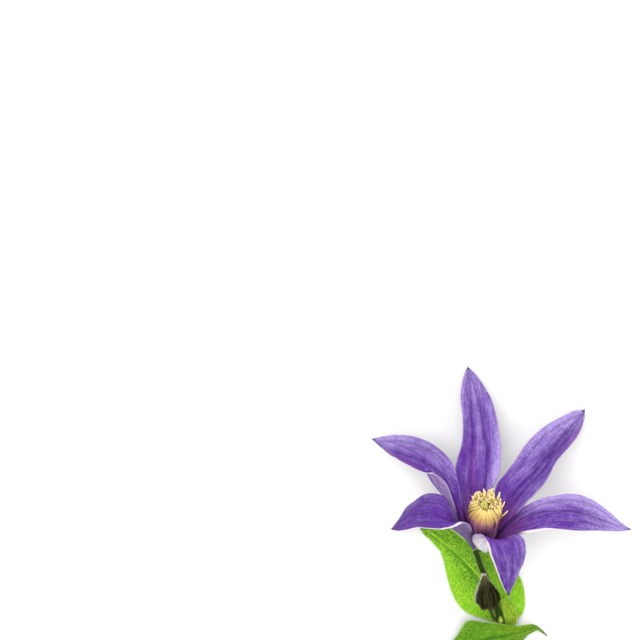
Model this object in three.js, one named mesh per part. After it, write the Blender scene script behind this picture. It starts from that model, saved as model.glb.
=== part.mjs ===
// A clematis flower as picked, lying on a surface: one open flower with six
// sepals, its boss of stamens, the stem with a young bud, and the leaves that
// grow on that stem. Millimetres, +Z up, the surface at z = 0.
import * as THREE from "three";
import { mergeVertices } from "three/addons/utils/BufferGeometryUtils.js";

// ---- driving dimensions, mm ----------------------------------------------
const SEPAL_THICKNESS = 0.6; // solid sepal, fleshier than the real 0.4
const SEPAL_STEPS = 24; // faces along a sepal
const SEPAL_ACROSS = 6; // faces across a sepal
const LEAF_THICKNESS = 0.6;
const STEM_STEPS = 46;
const STEM_SIDES = 8;
const STAMEN_WIDTH = 0.74; // flat filament
const STAMEN_DEPTH = 0.28;
const STAMEN_FOOT = 1.75; // height of the stamens' feet above the receptacle's middle
// rings of stamens: count, radius at the foot, at the belly, at the tip, height
const STAMEN_RINGS = [
  [18, 2.6, 5.15, 2.4, 16.0],
  [18, 2.0, 4.1, 1.7, 15.5],
  [8, 1.3, 2.6, 1.1, 15.0],
];
const FLARE = [3.8, 1.7, 0.4]; // how far each ring's open side leans out at the tip
const FLARE_DIRECTION = 1.05; // middle of the open side, radians from the flower's right towards its back
const BUD_RIB = 0.07; // depth of the bud's four ribs, as part of its radius
const RECEPTACLE_PROFILE = [[0, -1.2], [1.3, -1.1], [2.4, -0.6], [3.0, 0], [3.05, 0.45], [2.6, 0.9], [1.4, 1.3], [0, 1.4]];
const PISTIL_PROFILE = [[0, 1.7], [0.85, 1.8], [0.8, 6], [0.6, 11], [0.8, 14.6], [0.55, 15.6], [0, 15.9]];

const FLOWER_CENTRE = [-6.07, 5.5, 15.96];
const FLOWER_AXIS = [0.055, 0.705, 0.707]; // the stamens point this way

// Each blade is a list of stations from its base to its tip. A station is five
// points across: one margin, its flank, the midrib, the other flank and margin.
const SEPAL_TOP = [
  [-7.48, 7.76, 13.56, -6.86, 7.83, 13.41, -6.24, 7.9, 13.26, -5.61, 7.89, 13.41, -4.99, 7.89, 13.56],
  [-9.85, 10.48, 16.56, -8.27, 10.8, 16.17, -6.67, 11.04, 15.96, -5.59, 11.25, 16.17, -4.49, 11.38, 16.56],
  [-12.41, 16.42, 18.26, -9.87, 16.35, 17.52, -7.33, 16.21, 17.16, -5.67, 16.2, 17.52, -4.01, 16.12, 18.26],
  [-13.81, 22.29, 18.96, -10.83, 22.12, 18.16, -7.84, 21.93, 17.76, -5.69, 21.81, 18.16, -3.54, 21.66, 18.96],
  [-14.5, 26.62, 18.96, -11.19, 26.45, 18.46, -7.87, 26.26, 17.76, -4.73, 26.26, 18.61, -1.58, 26.25, 19.26],
  [-13.88, 30.48, 18.36, -10.76, 30.49, 18.01, -7.64, 30.43, 17.26, -4.3, 30.48, 18.11, -0.96, 30.5, 18.76],
  [-12.63, 34.32, 17.16, -9.96, 34.51, 16.85, -7.28, 34.58, 16.16, -4.09, 34.49, 16.96, -0.89, 34.33, 17.56],
  [-11.98, 38.74, 15.36, -9.67, 38.96, 15.1, -7.35, 39.01, 14.46, -4.32, 38.92, 15.16, -1.29, 38.75, 15.66],
  [-11.99, 43.47, 12.86, -9.87, 43.63, 12.64, -7.74, 43.59, 12.06, -4.94, 43.73, 12.6, -2.13, 43.77, 12.96],
  [-12.38, 48.19, 9.56, -10.34, 48.31, 9.53, -8.29, 48.18, 9.16, -5.81, 48.25, 9.45, -3.33, 48.19, 9.56],
  [-11.93, 52.11, 6.16, -10.44, 52.25, 6.09, -8.95, 52.25, 5.86, -7.14, 52.14, 6.09, -5.33, 51.89, 6.16],
  [-10.97, 55.61, 2.36, -10.21, 55.58, 2.31, -9.45, 55.55, 2.26, -8.55, 55.58, 2.31, -7.66, 55.61, 2.36],
  [-9.99, 57.83, 0.18, -9.91, 57.86, 0.18, -9.84, 57.89, 0.18, -9.76, 57.86, 0.18, -9.69, 57.83, 0.18],
];
const SEPAL_UPPER_RIGHT = [
  [-4.06, 7.73, 13.56, -3.73, 7.47, 13.81, -3.39, 7.2, 14.06, -3, 6.92, 14.36, -2.62, 6.64, 14.66],
  [-3.42, 11.36, 16.16, -2.68, 11.01, 16.18, -2.05, 10.62, 16.36, -1.35, 10.2, 16.93, -0.77, 9.75, 17.66],
  [-3.16, 15.63, 17.56, -1.83, 15.04, 17.35, -0.77, 14.44, 17.66, 0.74, 13.71, 18.84, 2.06, 12.96, 20.36],
  [-2.9, 19.41, 18.16, -0.88, 18.51, 17.75, 0.85, 17.76, 18.06, 2.94, 16.84, 19.69, 4.83, 16.04, 21.86],
  [-1.95, 23.3, 18.36, 0.62, 21.97, 17.98, 3.1, 20.74, 17.96, 5.58, 19.87, 19.68, 7.92, 19.17, 21.96],
  [0.78, 26.67, 18.16, 3.42, 25.41, 18.05, 6.11, 24.01, 17.56, 8.56, 23.07, 19.18, 10.95, 22.25, 21.16],
  [3.73, 30.43, 17.36, 6.43, 28.86, 17.33, 9.17, 26.95, 16.56, 11.39, 26.44, 18.17, 13.6, 26.01, 19.96],
  [6.66, 34.55, 15.56, 9.5, 32.83, 15.6, 12.29, 30.62, 14.76, 13.98, 30.16, 16.26, 15.67, 29.7, 17.76],
  [10.31, 38.18, 12.96, 12.98, 36.51, 12.98, 15.48, 34.33, 12.16, 16.96, 33.49, 13.46, 18.44, 32.66, 14.76],
  [14.24, 40.84, 9.76, 16.51, 39.41, 9.78, 18.57, 37.53, 9.16, 20, 36.59, 10.16, 21.43, 35.64, 11.16],
  [18.01, 42.64, 6.56, 19.76, 41.59, 6.41, 21.39, 40.29, 5.96, 22.58, 39.59, 6.71, 23.78, 38.89, 7.46],
  [21.93, 44.38, 2.86, 22.97, 43.6, 2.74, 23.94, 42.7, 2.46, 24.53, 42.41, 2.86, 25.12, 42.12, 3.26],
  [25.47, 44.91, 0.18, 25.53, 44.88, 0.18, 25.59, 44.85, 0.18, 25.63, 44.78, 0.18, 25.68, 44.7, 0.18],
];
const SEPAL_RIGHT = [
  [-2.23, 6.06, 15.36, -2.35, 5.64, 15.86, -2.47, 5.23, 16.36, -2.58, 4.81, 16.81, -2.7, 4.39, 17.26],
  [0.07, 9.28, 16.56, 0.15, 8.4, 17.42, 0.08, 7.61, 18.36, -0.03, 6.84, 19.02, -0.3, 6.18, 19.76],
  [2.77, 12.9, 18.36, 3.07, 11.29, 19.46, 3.08, 9.86, 20.76, 2.92, 8.93, 21.51, 2.62, 8.09, 22.36],
  [5.23, 15.79, 20.16, 5.65, 13.71, 21.56, 6.07, 11.64, 22.96, 5.79, 10.5, 23.76, 5.52, 9.36, 24.56],
  [8.08, 17.55, 21.76, 8.49, 15.43, 23.55, 9.21, 13.1, 24.86, 9.03, 11.64, 25.31, 8.85, 10.19, 25.76],
  [11.3, 18.94, 22.56, 11.77, 16.8, 24.85, 12.54, 14.21, 26.06, 12.43, 12.53, 26.25, 12.38, 10.78, 26.26],
  [14.72, 19.74, 22.56, 15.58, 17.45, 25.11, 16.24, 14.63, 26.16, 16.15, 12.7, 26.19, 15.98, 10.57, 25.66],
  [18.68, 20.24, 21.46, 19.72, 17.55, 23.89, 20.04, 14.44, 24.96, 20.07, 12.35, 24.72, 19.82, 10.1, 23.96],
  [23.03, 19.68, 19.26, 23.94, 16.75, 21.33, 23.97, 13.54, 22.36, 24.05, 11.74, 22.14, 23.74, 9.82, 21.46],
  [27.43, 17.59, 16.66, 27.99, 14.93, 18.1, 27.84, 12.12, 18.86, 27.86, 10.92, 18.65, 27.6, 9.66, 18.16],
  [31.74, 14.42, 13.76, 31.9, 12.64, 14.52, 31.64, 10.82, 14.86, 31.65, 10.01, 14.73, 31.52, 9.18, 14.46],
  [35.39, 11.48, 10.96, 35.4, 10.68, 11.19, 35.27, 9.9, 11.26, 35.21, 9.35, 11.16, 35.14, 8.8, 11.06],
  [38.78, 9.23, 8.36, 38.84, 9.17, 8.36, 38.9, 9.11, 8.36, 38.84, 9.03, 8.36, 38.78, 8.96, 8.36],
];
const SEPAL_BOTTOM = [
  [-6.72, 3.38, 18.16, -6.13, 3.27, 18.31, -5.54, 3.16, 18.46, -4.92, 3.27, 18.36, -4.31, 3.39, 18.26],
  [-7.97, 4.19, 20.36, -6.79, 3.83, 20.87, -5.63, 3.84, 21.26, -4.19, 4.08, 21.32, -2.77, 4.71, 21.26],
  [-9.77, 6.4, 23.76, -7.79, 5.22, 24.48, -5.78, 4.99, 24.86, -3.2, 5.5, 25.02, -0.59, 6.57, 24.96],
  [-9.55, 8.18, 27.26, -7.25, 6.77, 27.89, -4.92, 6.29, 28.16, -1.67, 6.93, 28.27, 1.59, 8.12, 28.16],
  [-7.38, 8.48, 29.96, -5.18, 7.62, 30.44, -3, 7.16, 30.86, 0.28, 7.68, 30.44, 3.55, 8.6, 29.96],
  [-5.54, 7.35, 31.06, -3.26, 7.12, 31.56, -0.99, 6.84, 31.86, 1.93, 7.4, 31.11, 4.84, 7.91, 30.16],
  [-4.63, 5.62, 30.46, -2.31, 5.24, 31.06, -0.06, 5.17, 31.16, 2.76, 5.34, 30.41, 5.52, 5.83, 29.16],
  [-4.05, 3.71, 28.56, -1.67, 3.06, 29.23, 0.64, 3.17, 29.26, 3.21, 3.01, 28.53, 5.71, 3.61, 27.16],
  [-3.14, 1.41, 25.36, -0.98, 0.71, 25.89, 1.13, 0.85, 25.86, 3.31, 0.52, 25.29, 5.45, 1.02, 24.16],
  [-1.99, -1.29, 21.16, -0.25, -1.92, 21.52, 1.48, -1.87, 21.46, 3.07, -2.18, 21.07, 4.66, -1.81, 20.26],
  [-0.84, -4.34, 16.66, 0.43, -4.73, 16.92, 1.73, -4.62, 16.86, 2.75, -5.02, 16.67, 3.8, -4.91, 16.16],
  [0.53, -7.9, 11.56, 1.26, -8.06, 11.67, 1.97, -8.05, 11.66, 2.47, -8.08, 11.57, 2.95, -7.95, 11.36],
  [2, -10.84, 7.16, 2.09, -10.87, 7.16, 2.18, -10.9, 7.16, 2.25, -10.87, 7.16, 2.33, -10.84, 7.16],
];
const SEPAL_LOWER_LEFT = [
  [-9.65, 4.78, 16.86, -9.28, 4.42, 17.21, -8.91, 4.05, 17.56, -8.41, 3.77, 17.81, -7.91, 3.49, 18.06],
  [-10.84, 6.58, 18.56, -10.39, 5.8, 19.26, -9.7, 5.32, 19.86, -9.1, 5.02, 20.06, -8.26, 5.02, 20.16],
  [-12.73, 9.41, 20.76, -12.19, 8.19, 21.83, -11.33, 7.46, 22.76, -10.14, 7.13, 22.93, -8.63, 7.3, 22.96],
  [-14.3, 12.67, 22.76, -14.13, 10.71, 24.11, -13.53, 9.42, 25.36, -11.7, 9.21, 25.77, -9.32, 9.82, 26.06],
  [-15.7, 15.57, 24.06, -15.74, 13.06, 25.6, -15.53, 10.87, 27.16, -13.64, 10.77, 27.84, -11, 11.61, 28.56],
  [-17.05, 18.12, 24.46, -17.07, 15.33, 26.38, -17.35, 12.27, 28.16, -15.57, 11.98, 28.99, -13.29, 12.27, 30.06],
  [-18.67, 19.85, 23.96, -18.94, 17.14, 26.61, -19.27, 13.75, 28.26, -17.59, 12.67, 29, -15.92, 11.47, 29.56],
  [-20.99, 20.41, 22.36, -21.8, 17.73, 25.15, -21.59, 14.7, 26.76, -20.65, 12.84, 27.23, -19.08, 10.77, 26.96],
  [-23.58, 19.91, 19.76, -24.52, 17.37, 22.22, -24.16, 14.66, 23.76, -23.73, 12.75, 23.6, -22.49, 10.74, 22.86],
  [-26.32, 17.83, 16.66, -27.03, 15.92, 18.3, -26.85, 13.95, 19.46, -26.74, 12.25, 19.05, -25.92, 10.5, 18.26],
  [-28.76, 15.67, 12.66, -29.29, 14.09, 13.73, -29.26, 12.45, 14.56, -29.28, 10.96, 14.19, -28.94, 9.42, 13.66],
  [-30.92, 12.24, 8.76, -31.25, 11.45, 9.2, -31.39, 10.63, 9.56, -31.4, 9.71, 9.35, -31.23, 8.76, 9.06],
  [-33.19, 9.13, 4.96, -33.23, 9.05, 4.96, -33.28, 8.98, 4.96, -33.23, 8.9, 4.96, -33.19, 8.82, 4.96],
];
const SEPAL_UPPER_LEFT = [
  [-8.49, 7.33, 13.86, -8.81, 7, 14.21, -9.12, 6.66, 14.56, -9.44, 6.3, 14.96, -9.76, 5.94, 15.36],
  [-10.33, 9.88, 16.56, -11.27, 9.55, 16.87, -11.89, 9.34, 17.36, -11.83, 9.18, 18.02, -11.45, 9.14, 18.86],
  [-11.79, 12.54, 18.36, -13.22, 12.21, 18.88, -14.14, 12.03, 19.66, -14.2, 12.03, 20.58, -13.58, 12.22, 21.86],
  [-12.55, 16.09, 20.16, -14.32, 15.48, 20.61, -15.59, 14.96, 21.36, -15.49, 15.03, 22.31, -14.56, 15.26, 23.76],
  [-13.19, 19.57, 21.16, -15.32, 18.71, 21.64, -16.97, 18.01, 22.46, -16.67, 17.88, 23.53, -15.59, 18.01, 25.16],
  [-13.82, 22.58, 21.76, -16.36, 21.28, 22.34, -18.63, 20.13, 23.16, -17.91, 20.23, 24.2, -16.51, 20.72, 25.86],
  [-14.33, 25.12, 21.86, -17.38, 23.68, 22.71, -20.43, 22.23, 23.56, -19.24, 22.45, 24.54, -17.41, 23.11, 26.16],
  [-14.99, 28.07, 21.26, -18.37, 26.46, 22.59, -22.07, 24.61, 23.46, -20.75, 24.64, 24.31, -19.03, 25.02, 25.76],
  [-16.56, 30.69, 19.76, -19.8, 29.23, 21.78, -23.38, 27.1, 22.86, -22.43, 26.73, 23.51, -21.36, 26.59, 24.46],
  [-19.31, 33.43, 17.36, -22.44, 32.08, 19.87, -25.26, 29.55, 21.06, -24.7, 28.45, 21.54, -24.1, 27.21, 21.86],
  [-23.11, 35.77, 14.56, -26.14, 34.03, 16.86, -28.31, 31.27, 17.96, -27.87, 30.07, 17.95, -27.25, 28.65, 17.66],
  [-27.52, 37.1, 11.36, -29.96, 35.13, 13.08, -31.5, 32.51, 13.96, -31.17, 31.55, 13.73, -30.58, 30.4, 13.26],
  [-31.96, 37.28, 8.16, -33.42, 35.6, 9.12, -34.26, 33.66, 9.66, -34.03, 32.92, 9.37, -33.64, 32.12, 8.96],
  [-35.66, 36.84, 4.26, -36.28, 35.87, 4.51, -36.73, 34.85, 4.66, -36.73, 34.48, 4.56, -36.57, 34.05, 4.36],
  [-38.78, 36.11, 0.18, -38.82, 36.02, 0.18, -38.87, 35.93, 0.18, -38.82, 35.85, 0.18, -38.78, 35.77, 0.18],
];
const LEAF_LARGE = [
  [-0.32, -20.02, 0.96, 0.02, -19.94, 0.96, 0.35, -19.87, 0.96, 0.69, -19.77, 0.96, 1.02, -19.68, 0.96],
  [-5.01, -18.54, 1.16, -2.83, -17.38, 1.31, -0.64, -16.22, 1.26, 2.44, -17.11, 1.26, 5.52, -18, 1.06],
  [-9.71, -16.97, 0.66, -6.08, -14.7, 1.46, -2.44, -12.4, 1.46, 2.31, -13.96, 1.51, 7.06, -15.5, 0.76],
  [-12.72, -14.45, 0.56, -8.58, -11.67, 1.61, -4.42, -8.9, 1.46, 1.42, -10.44, 1.71, 7.27, -12, 0.76],
  [-14.79, -10.65, 0.51, -10.75, -8.09, 1.64, -6.7, -5.5, 1.36, -0.04, -6.71, 1.86, 6.64, -7.89, 0.76],
  [-15.98, -6.53, 0.66, -12.64, -4.61, 1.81, -9.29, -2.56, 1.56, -2.52, -3.17, 2.26, 4.27, -3.6, 1.16],
  [-16.97, -2.43, 0.96, -14.6, -1.12, 1.91, -12.2, 0.32, 1.86, -6.14, 0.16, 2.75, -0.03, 0.26, 1.86],
  [-17.96, 1.45, 1.46, -16.55, 2.13, 2.11, -15.1, 2.93, 2.16, -10.29, 2.78, 3.05, -5.39, 2.89, 2.56],
  [-19.5, 3.55, 1.96, -18.61, 4.18, 2.36, -17.69, 4.89, 2.36, -14.01, 5, 3.06, -10.27, 5.26, 2.96],
  [-21.49, 5.85, 2.26, -20.89, 6.34, 2.46, -20.28, 6.84, 2.46, -17.79, 7.8, 2.86, -15.28, 8.78, 2.86],
  [-23.06, 7.02, 1.96, -22.72, 7.6, 2.01, -22.39, 8.18, 2.06, -21.2, 8.72, 2.31, -19.97, 9.23, 2.36],
  [-24.34, 8.85, 1.16, -24.32, 8.94, 1.16, -24.31, 9.03, 1.16, -24.22, 9.08, 1.16, -24.13, 9.12, 1.16],
];
const LEAF_YOUNG = [
  [1.65, -21.8, 3.26, 1.83, -21.84, 3.21, 2.02, -21.87, 3.16, 2.23, -21.87, 3.21, 2.44, -21.87, 3.26],
  [1.48, -20.08, 4.16, 2.15, -20.19, 3.62, 2.86, -20.35, 3.26, 3.67, -20.22, 3.32, 4.52, -20.14, 3.56],
  [1.13, -17.85, 4.96, 1.92, -17.94, 4.27, 2.74, -18.05, 3.76, 3.74, -17.9, 3.92, 4.78, -17.76, 4.26],
  [0.65, -15.7, 5.26, 1.45, -15.76, 4.52, 2.28, -15.82, 3.96, 3.28, -15.63, 4.27, 4.32, -15.44, 4.76],
  [0.3, -13.68, 5.16, 0.9, -13.72, 4.66, 1.51, -13.77, 4.16, 2.19, -13.71, 4.46, 2.87, -13.65, 4.76],
  [0.39, -11.72, 4.66, 0.46, -11.68, 4.61, 0.54, -11.64, 4.56, 0.62, -11.67, 4.61, 0.69, -11.69, 4.66],
];
const LEAF_LOWER = [
  [-15.03, -39.15, 3.46, -14.79, -39.06, 3.46, -14.54, -38.97, 3.46, -14.27, -39, 3.46, -14, -39.03, 3.46],
  [-17.27, -34.85, 3.36, -15.91, -34.89, 4.3, -14.45, -34.84, 4.86, -12.59, -36.38, 4.8, -10.64, -37.83, 4.36],
  [-17.36, -29.79, 2.36, -15.09, -30.27, 4.55, -12.68, -30.63, 5.96, -9.14, -33.24, 5.2, -5.45, -35.73, 3.66],
  [-15.1, -26.04, 2.26, -12.52, -26.85, 5.06, -9.84, -27.51, 6.86, -5.46, -30.4, 5.16, -0.98, -33.13, 2.46],
  [-12.82, -22.69, 2.86, -9.69, -24.22, 5.61, -6.54, -25.58, 7.36, -2, -27.87, 5.11, 2.55, -30, 1.86],
  [-10.36, -18.87, 4.16, -6.6, -21.74, 6.41, -2.92, -24.51, 7.46, 1.04, -25.96, 5.41, 4.94, -27.34, 2.56],
  [-5.7, -19.02, 5.76, -2.42, -21.4, 6.81, 0.73, -23.74, 7.06, 3.66, -24.52, 5.56, 6.5, -25.28, 3.46],
  [-0.31, -19.59, 6.76, 2.04, -21.24, 6.85, 4.25, -22.81, 6.36, 6.04, -23.26, 5.46, 7.72, -23.66, 4.16],
  [4.88, -20.26, 6.06, 6.16, -21.18, 6.05, 7.33, -22.06, 5.66, 8.3, -22.32, 5.16, 9.22, -22.57, 4.46],
  [9.51, -20.05, 4.76, 9.95, -20.56, 4.74, 10.28, -21.1, 4.56, 10.67, -21.44, 4.31, 11.07, -21.79, 4.06],
  [12.27, -21.8, 2.06, 12.27, -22.01, 2.06, 12.27, -22.22, 2.06, 12.32, -22.43, 2.01, 12.37, -22.63, 1.96],
  [14.16, -23.62, 0.24, 14.18, -23.68, 0.24, 14.19, -23.74, 0.24, 14.19, -23.8, 0.24, 14.19, -23.86, 0.24],
];
// stem centre line from the flower to the cut end: x, y, z, radius
const STEM = [
  [-6.02, 4.52, 14.86, 1.15],
  [-6.57, 3.69, 13.26, 1],
  [-7.19, 2.75, 11.96, 0.9],
  [-7.24, 1.24, 11.06, 0.88],
  [-6.69, -0.77, 10.36, 0.88],
  [-5.94, -2.65, 9.76, 0.88],
  [-5.06, -4.64, 9.06, 0.88],
  [-3.97, -7.45, 7.96, 0.9],
  [-2.88, -10.73, 6.66, 0.92],
  [-1.7, -14.2, 5.16, 0.98],
  [-0.79, -16.75, 4.06, 1.1],
  [-0.21, -18.88, 3.36, 1.5],
  [-0.03, -20.57, 2.86, 1.25],
  [-0.57, -23.73, 2.26, 1.05],
  [-2.46, -27.73, 1.76, 1.02],
  [-5.42, -31.36, 1.36, 1.02],
  [-8.91, -34.73, 1.11, 1.05],
  [-12.01, -37.83, 1.16, 1.15],
  [-13.85, -40.23, 1.51, 1.5],
  [-15.09, -42.85, 1.21, 1.2],
  [-16.21, -46.67, 1.04, 1.08],
  [-17, -50.63, 1.02, 1.06],
  [-17.36, -54.59, 1.02, 1.06],
  [-17.49, -57.93, 1.04, 1.08],
];
// young bud from its base to its tip: x, y, z, radius
const BUD = [
  [-3.59, -14.43, 10.96, 0.55],
  [-3.61, -14.09, 11.04, 1.3],
  [-3.65, -13.6, 11.16, 2.1],
  [-3.72, -12.75, 11.36, 2.9],
  [-3.86, -11.55, 11.61, 3.2],
  [-4.09, -10.09, 11.87, 3.05],
  [-4.34, -8.65, 12.11, 2.55],
  [-4.59, -7.33, 12.3, 1.95],
  [-4.8, -6.03, 12.43, 1.3],
  [-4.94, -4.97, 12.51, 0.75],
  [-5.06, -4.12, 12.56, 0.25],
];
// the bud's stalk
const BUD_STALK = [
  [-1.88, -18.21, 4.96, 0.55],
  [-2.46, -17.65, 6.16, 0.47],
  [-2.99, -16.5, 8.16, 0.45],
  [-3.4, -15.51, 9.66, 0.5],
];
// small resting bud at the node
const NODE_BUD = [
  [-0.11, -19.23, 5.41, 0.3],
  [-0.17, -18.88, 5.52, 0.62],
  [-0.25, -18.36, 5.69, 0.58],
  [-0.33, -17.83, 5.85, 0.36],
  [-0.39, -17.49, 5.96, 0.15],
];

const THICK = { sepal: SEPAL_THICKNESS, leaf: LEAF_THICKNESS };

// ---- small helpers -------------------------------------------------------
const V = (p) => new THREE.Vector3(p[0], p[1], p[2]);

// uniform Catmull-Rom through a list of vectors, t from 0 to n-1
function spline(P, t) {
  const n = P.length;
  t = Math.min(Math.max(t, 0), n - 1);
  const i = Math.min(Math.floor(t), n - 2);
  const f = t - i;
  const p1 = P[i];
  const p2 = P[i + 1];
  const p0 = i > 0 ? P[i - 1] : p1.clone().multiplyScalar(2).sub(p2);
  const p3 = i + 2 < n ? P[i + 2] : p2.clone().multiplyScalar(2).sub(p1);
  const out = new THREE.Vector3();
  for (const c of ["x", "y", "z"]) {
    out[c] = 0.5 * (2 * p1[c] + (p2[c] - p0[c]) * f
      + (2 * p0[c] - 5 * p1[c] + 4 * p2[c] - p3[c]) * f * f
      + (3 * p1[c] - p0[c] - 3 * p2[c] + p3[c]) * f * f * f);
  }
  return out;
}

// a closed body from rings of equal length; both ends are closed by strips of
// faces between the ring's two halves, which suits flat and round sections
function loft(rings) {
  const n = rings[0].length;
  const pos = [];
  const tri = (a, b, c) => {
    for (const p of [a, b, c]) pos.push(p.x, p.y, p.z);
  };
  for (let i = 0; i + 1 < rings.length; i++) {
    for (let j = 0; j < n; j++) {
      const k = (j + 1) % n;
      tri(rings[i][j], rings[i][k], rings[i + 1][k]);
      tri(rings[i][j], rings[i + 1][k], rings[i + 1][j]);
    }
  }
  const cap = (ring, flip) => {
    for (let j = 0; j < n / 2 - 1; j++) {
      const a = ring[j];
      const b = ring[j + 1];
      const c = ring[n - 2 - j];
      const d = ring[n - 1 - j];
      const put = (p, q, r) => {
        if (p === q || q === r || p === r) return;
        if (flip) tri(p, q, r);
        else tri(p, r, q);
      };
      put(a, c, b);
      put(a, d, c);
    }
  };
  cap(rings[0], true);
  cap(rings[rings.length - 1], false);
  let g = new THREE.BufferGeometry();
  g.setAttribute("position", new THREE.Float32BufferAttribute(pos, 3));
  g = mergeVertices(g, 1e-5);
  const idx = g.index.array;
  const p = g.attributes.position;
  let vol = 0;
  const a = new THREE.Vector3();
  const b = new THREE.Vector3();
  const c = new THREE.Vector3();
  for (let i = 0; i < idx.length; i += 3) {
    a.fromBufferAttribute(p, idx[i]);
    b.fromBufferAttribute(p, idx[i + 1]);
    c.fromBufferAttribute(p, idx[i + 2]);
    vol += a.dot(b.cross(c)) / 6;
  }
  if (vol < 0) {
    for (let i = 0; i < idx.length; i += 3) {
      const t = idx[i];
      idx[i] = idx[i + 1];
      idx[i + 1] = t;
    }
  }
  g.computeVertexNormals();
  return g;
}

// a thin curved blade: stations from base to tip, five control points across
function blade(table, thickness, nu, nv, thinTip) {
  const cols = [0, 1, 2, 3, 4].map((j) =>
    table.map((r) => new THREE.Vector3(r[3 * j], r[3 * j + 1], r[3 * j + 2])));
  const n = table.length;
  const at = (s, w) => {
    const sec = cols.map((c) => spline(c, s * (n - 1)));
    return spline(sec, w * 4);
  };
  const rings = [];
  for (let i = 0; i <= nu; i++) {
    const s = i / nu;
    const top = [];
    const bottom = [];
    for (let j = 0; j <= nv; j++) {
      const w = j / nv;
      const e = 1e-3;
      const du = at(Math.min(s + e, 1), w).sub(at(Math.max(s - e, 0), w));
      const dv = at(s, Math.min(w + e, 1)).sub(at(s, Math.max(w - e, 0)));
      const N = du.cross(dv).normalize();
      const edge = j === 0 || j === nv ? 0.45 : 1;
      const tip = s > 0.93 ? 1 - (thinTip * (s - 0.93)) / 0.07 : 1;
      const h = 0.5 * thickness * edge * tip;
      const c = at(s, w);
      top.push(c.clone().addScaledVector(N, h));
      bottom.push(c.clone().addScaledVector(N, -h));
    }
    rings.push(top.concat(bottom.reverse()));
  }
  return loft(rings);
}

// a round body along points [x, y, z, radius], with the given section function
function stalk(points, steps, sides, section) {
  const P = points.map(V);
  const R = points.map((p) => new THREE.Vector3(p[3], 0, 0));
  const rings = [];
  let side = null;
  for (let i = 0; i <= steps; i++) {
    const t = (i / steps) * (P.length - 1);
    const c = spline(P, t);
    const dir = spline(P, t + 0.01).sub(spline(P, t - 0.01));
    if (dir.length() < 1e-6) dir.copy(P[1]).sub(P[0]);
    dir.normalize();
    if (!side) side = new THREE.Vector3(1, 0, 0).cross(dir).length() > 0.2
      ? new THREE.Vector3(1, 0, 0) : new THREE.Vector3(0, 1, 0);
    side.addScaledVector(dir, -side.dot(dir)).normalize();
    const up = dir.clone().cross(side);
    const r = spline(R, t).x;
    const ring = [];
    for (let j = 0; j < sides; j++) {
      const a = (2 * Math.PI * j) / sides;
      const k = r * (section ? section(a, i / steps) : 1);
      ring.push(c.clone().addScaledVector(side, k * Math.cos(a)).addScaledVector(up, k * Math.sin(a)));
    }
    rings.push(ring);
  }
  return loft(rings);
}

// ---- the flower's own frame: axis along the stamens ----------------------
const AXIS = V(FLOWER_AXIS).normalize();
const RIGHT = new THREE.Vector3(1, 0, 0).addScaledVector(AXIS, -AXIS.x).normalize();
const BACK = AXIS.clone().cross(RIGHT);
const HEART = V(FLOWER_CENTRE);
const local = (radius, angle, height) => HEART.clone()
  .addScaledVector(RIGHT, radius * Math.cos(angle))
  .addScaledVector(BACK, radius * Math.sin(angle))
  .addScaledVector(AXIS, height);

// fixed pseudo-random value from -1 to 1 for stamen i, channel k
function vary(i, k) {
  const x = Math.sin(i * 12.9898 + k * 78.233) * 43758.5453;
  return 2 * (x - Math.floor(x)) - 1;
}

// one stamen: a flat strap that leaves the receptacle, widens with the barrel
// and turns in at the top; those at the back and on the right stand open
function stamenPath(ring, i) {
  const [count, foot, belly, tip, height] = STAMEN_RINGS[ring];
  const id = ring * 100 + i;
  const angle = (2 * Math.PI * (i + 0.5 * (ring % 2))) / count;
  const lean = (0.035 + 0.03 * ring) * vary(id, 1);
  const open = Math.max(0, (Math.cos(angle - FLARE_DIRECTION) + 0.25) / 1.25);
  const flare = FLARE[ring] * open ** 1.2 * (0.8 + 0.2 * vary(id, 2));
  const h = height + 0.3 * vary(id, 3) + 0.28 * flare;
  const path = [];
  for (const [s, k] of [[0, 0], [0.22, 0.1], [0.42, 0.36], [0.62, 0.72], [0.8, 0.98], [0.92, 0.9], [1, 0]]) {
    let r = foot + (belly - foot) * k;
    if (s > 0.9) r = s === 1 ? tip : tip + (belly - tip) * 0.62;
    r += flare * s * s * s * s;
    path.push([r, angle + lean * s, STAMEN_FOOT + (h - STAMEN_FOOT) * s]);
  }
  return path;
}

function stamen(ring, i) {
  const C = stamenPath(ring, i).map((p) => local(p[0], p[1], p[2]));
  const angle = stamenPath(ring, i)[0][1];
  const across = RIGHT.clone().multiplyScalar(-Math.sin(angle)).addScaledVector(BACK, Math.cos(angle));
  const rings = [];
  const steps = 7;
  for (let k = 0; k <= steps; k++) {
    const s = k / steps;
    const t = s * (C.length - 1);
    const c = spline(C, t);
    const dir = spline(C, t + 0.01).sub(spline(C, t - 0.01)).normalize();
    const out = dir.clone().cross(across).normalize();
    const w = 0.5 * STAMEN_WIDTH * (0.62 + 0.38 * Math.sin(Math.PI * Math.min(1, s * 1.15))) * (s > 0.98 ? 0.6 : 1);
    const d = 0.5 * STAMEN_DEPTH;
    rings.push([
      c.clone().addScaledVector(across, -w).addScaledVector(out, -d),
      c.clone().addScaledVector(across, w).addScaledVector(out, -d),
      c.clone().addScaledVector(across, w).addScaledVector(out, d),
      c.clone().addScaledVector(across, -w).addScaledVector(out, d),
    ]);
  }
  return loft(rings);
}

// a turned body on the flower's axis, profile as [radius, height]
function turned(profile, sides) {
  const g = new THREE.LatheGeometry(profile.map((p) => new THREE.Vector2(p[0], p[1])), sides);
  const m = new THREE.Matrix4().makeBasis(RIGHT, AXIS, BACK.clone().negate());
  g.applyMatrix4(m);
  g.translate(HEART.x, HEART.y, HEART.z);
  return g;
}

// ---- the pieces ----------------------------------------------------------
const flower = new THREE.Group();
flower.name = "clematis_flower";

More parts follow.
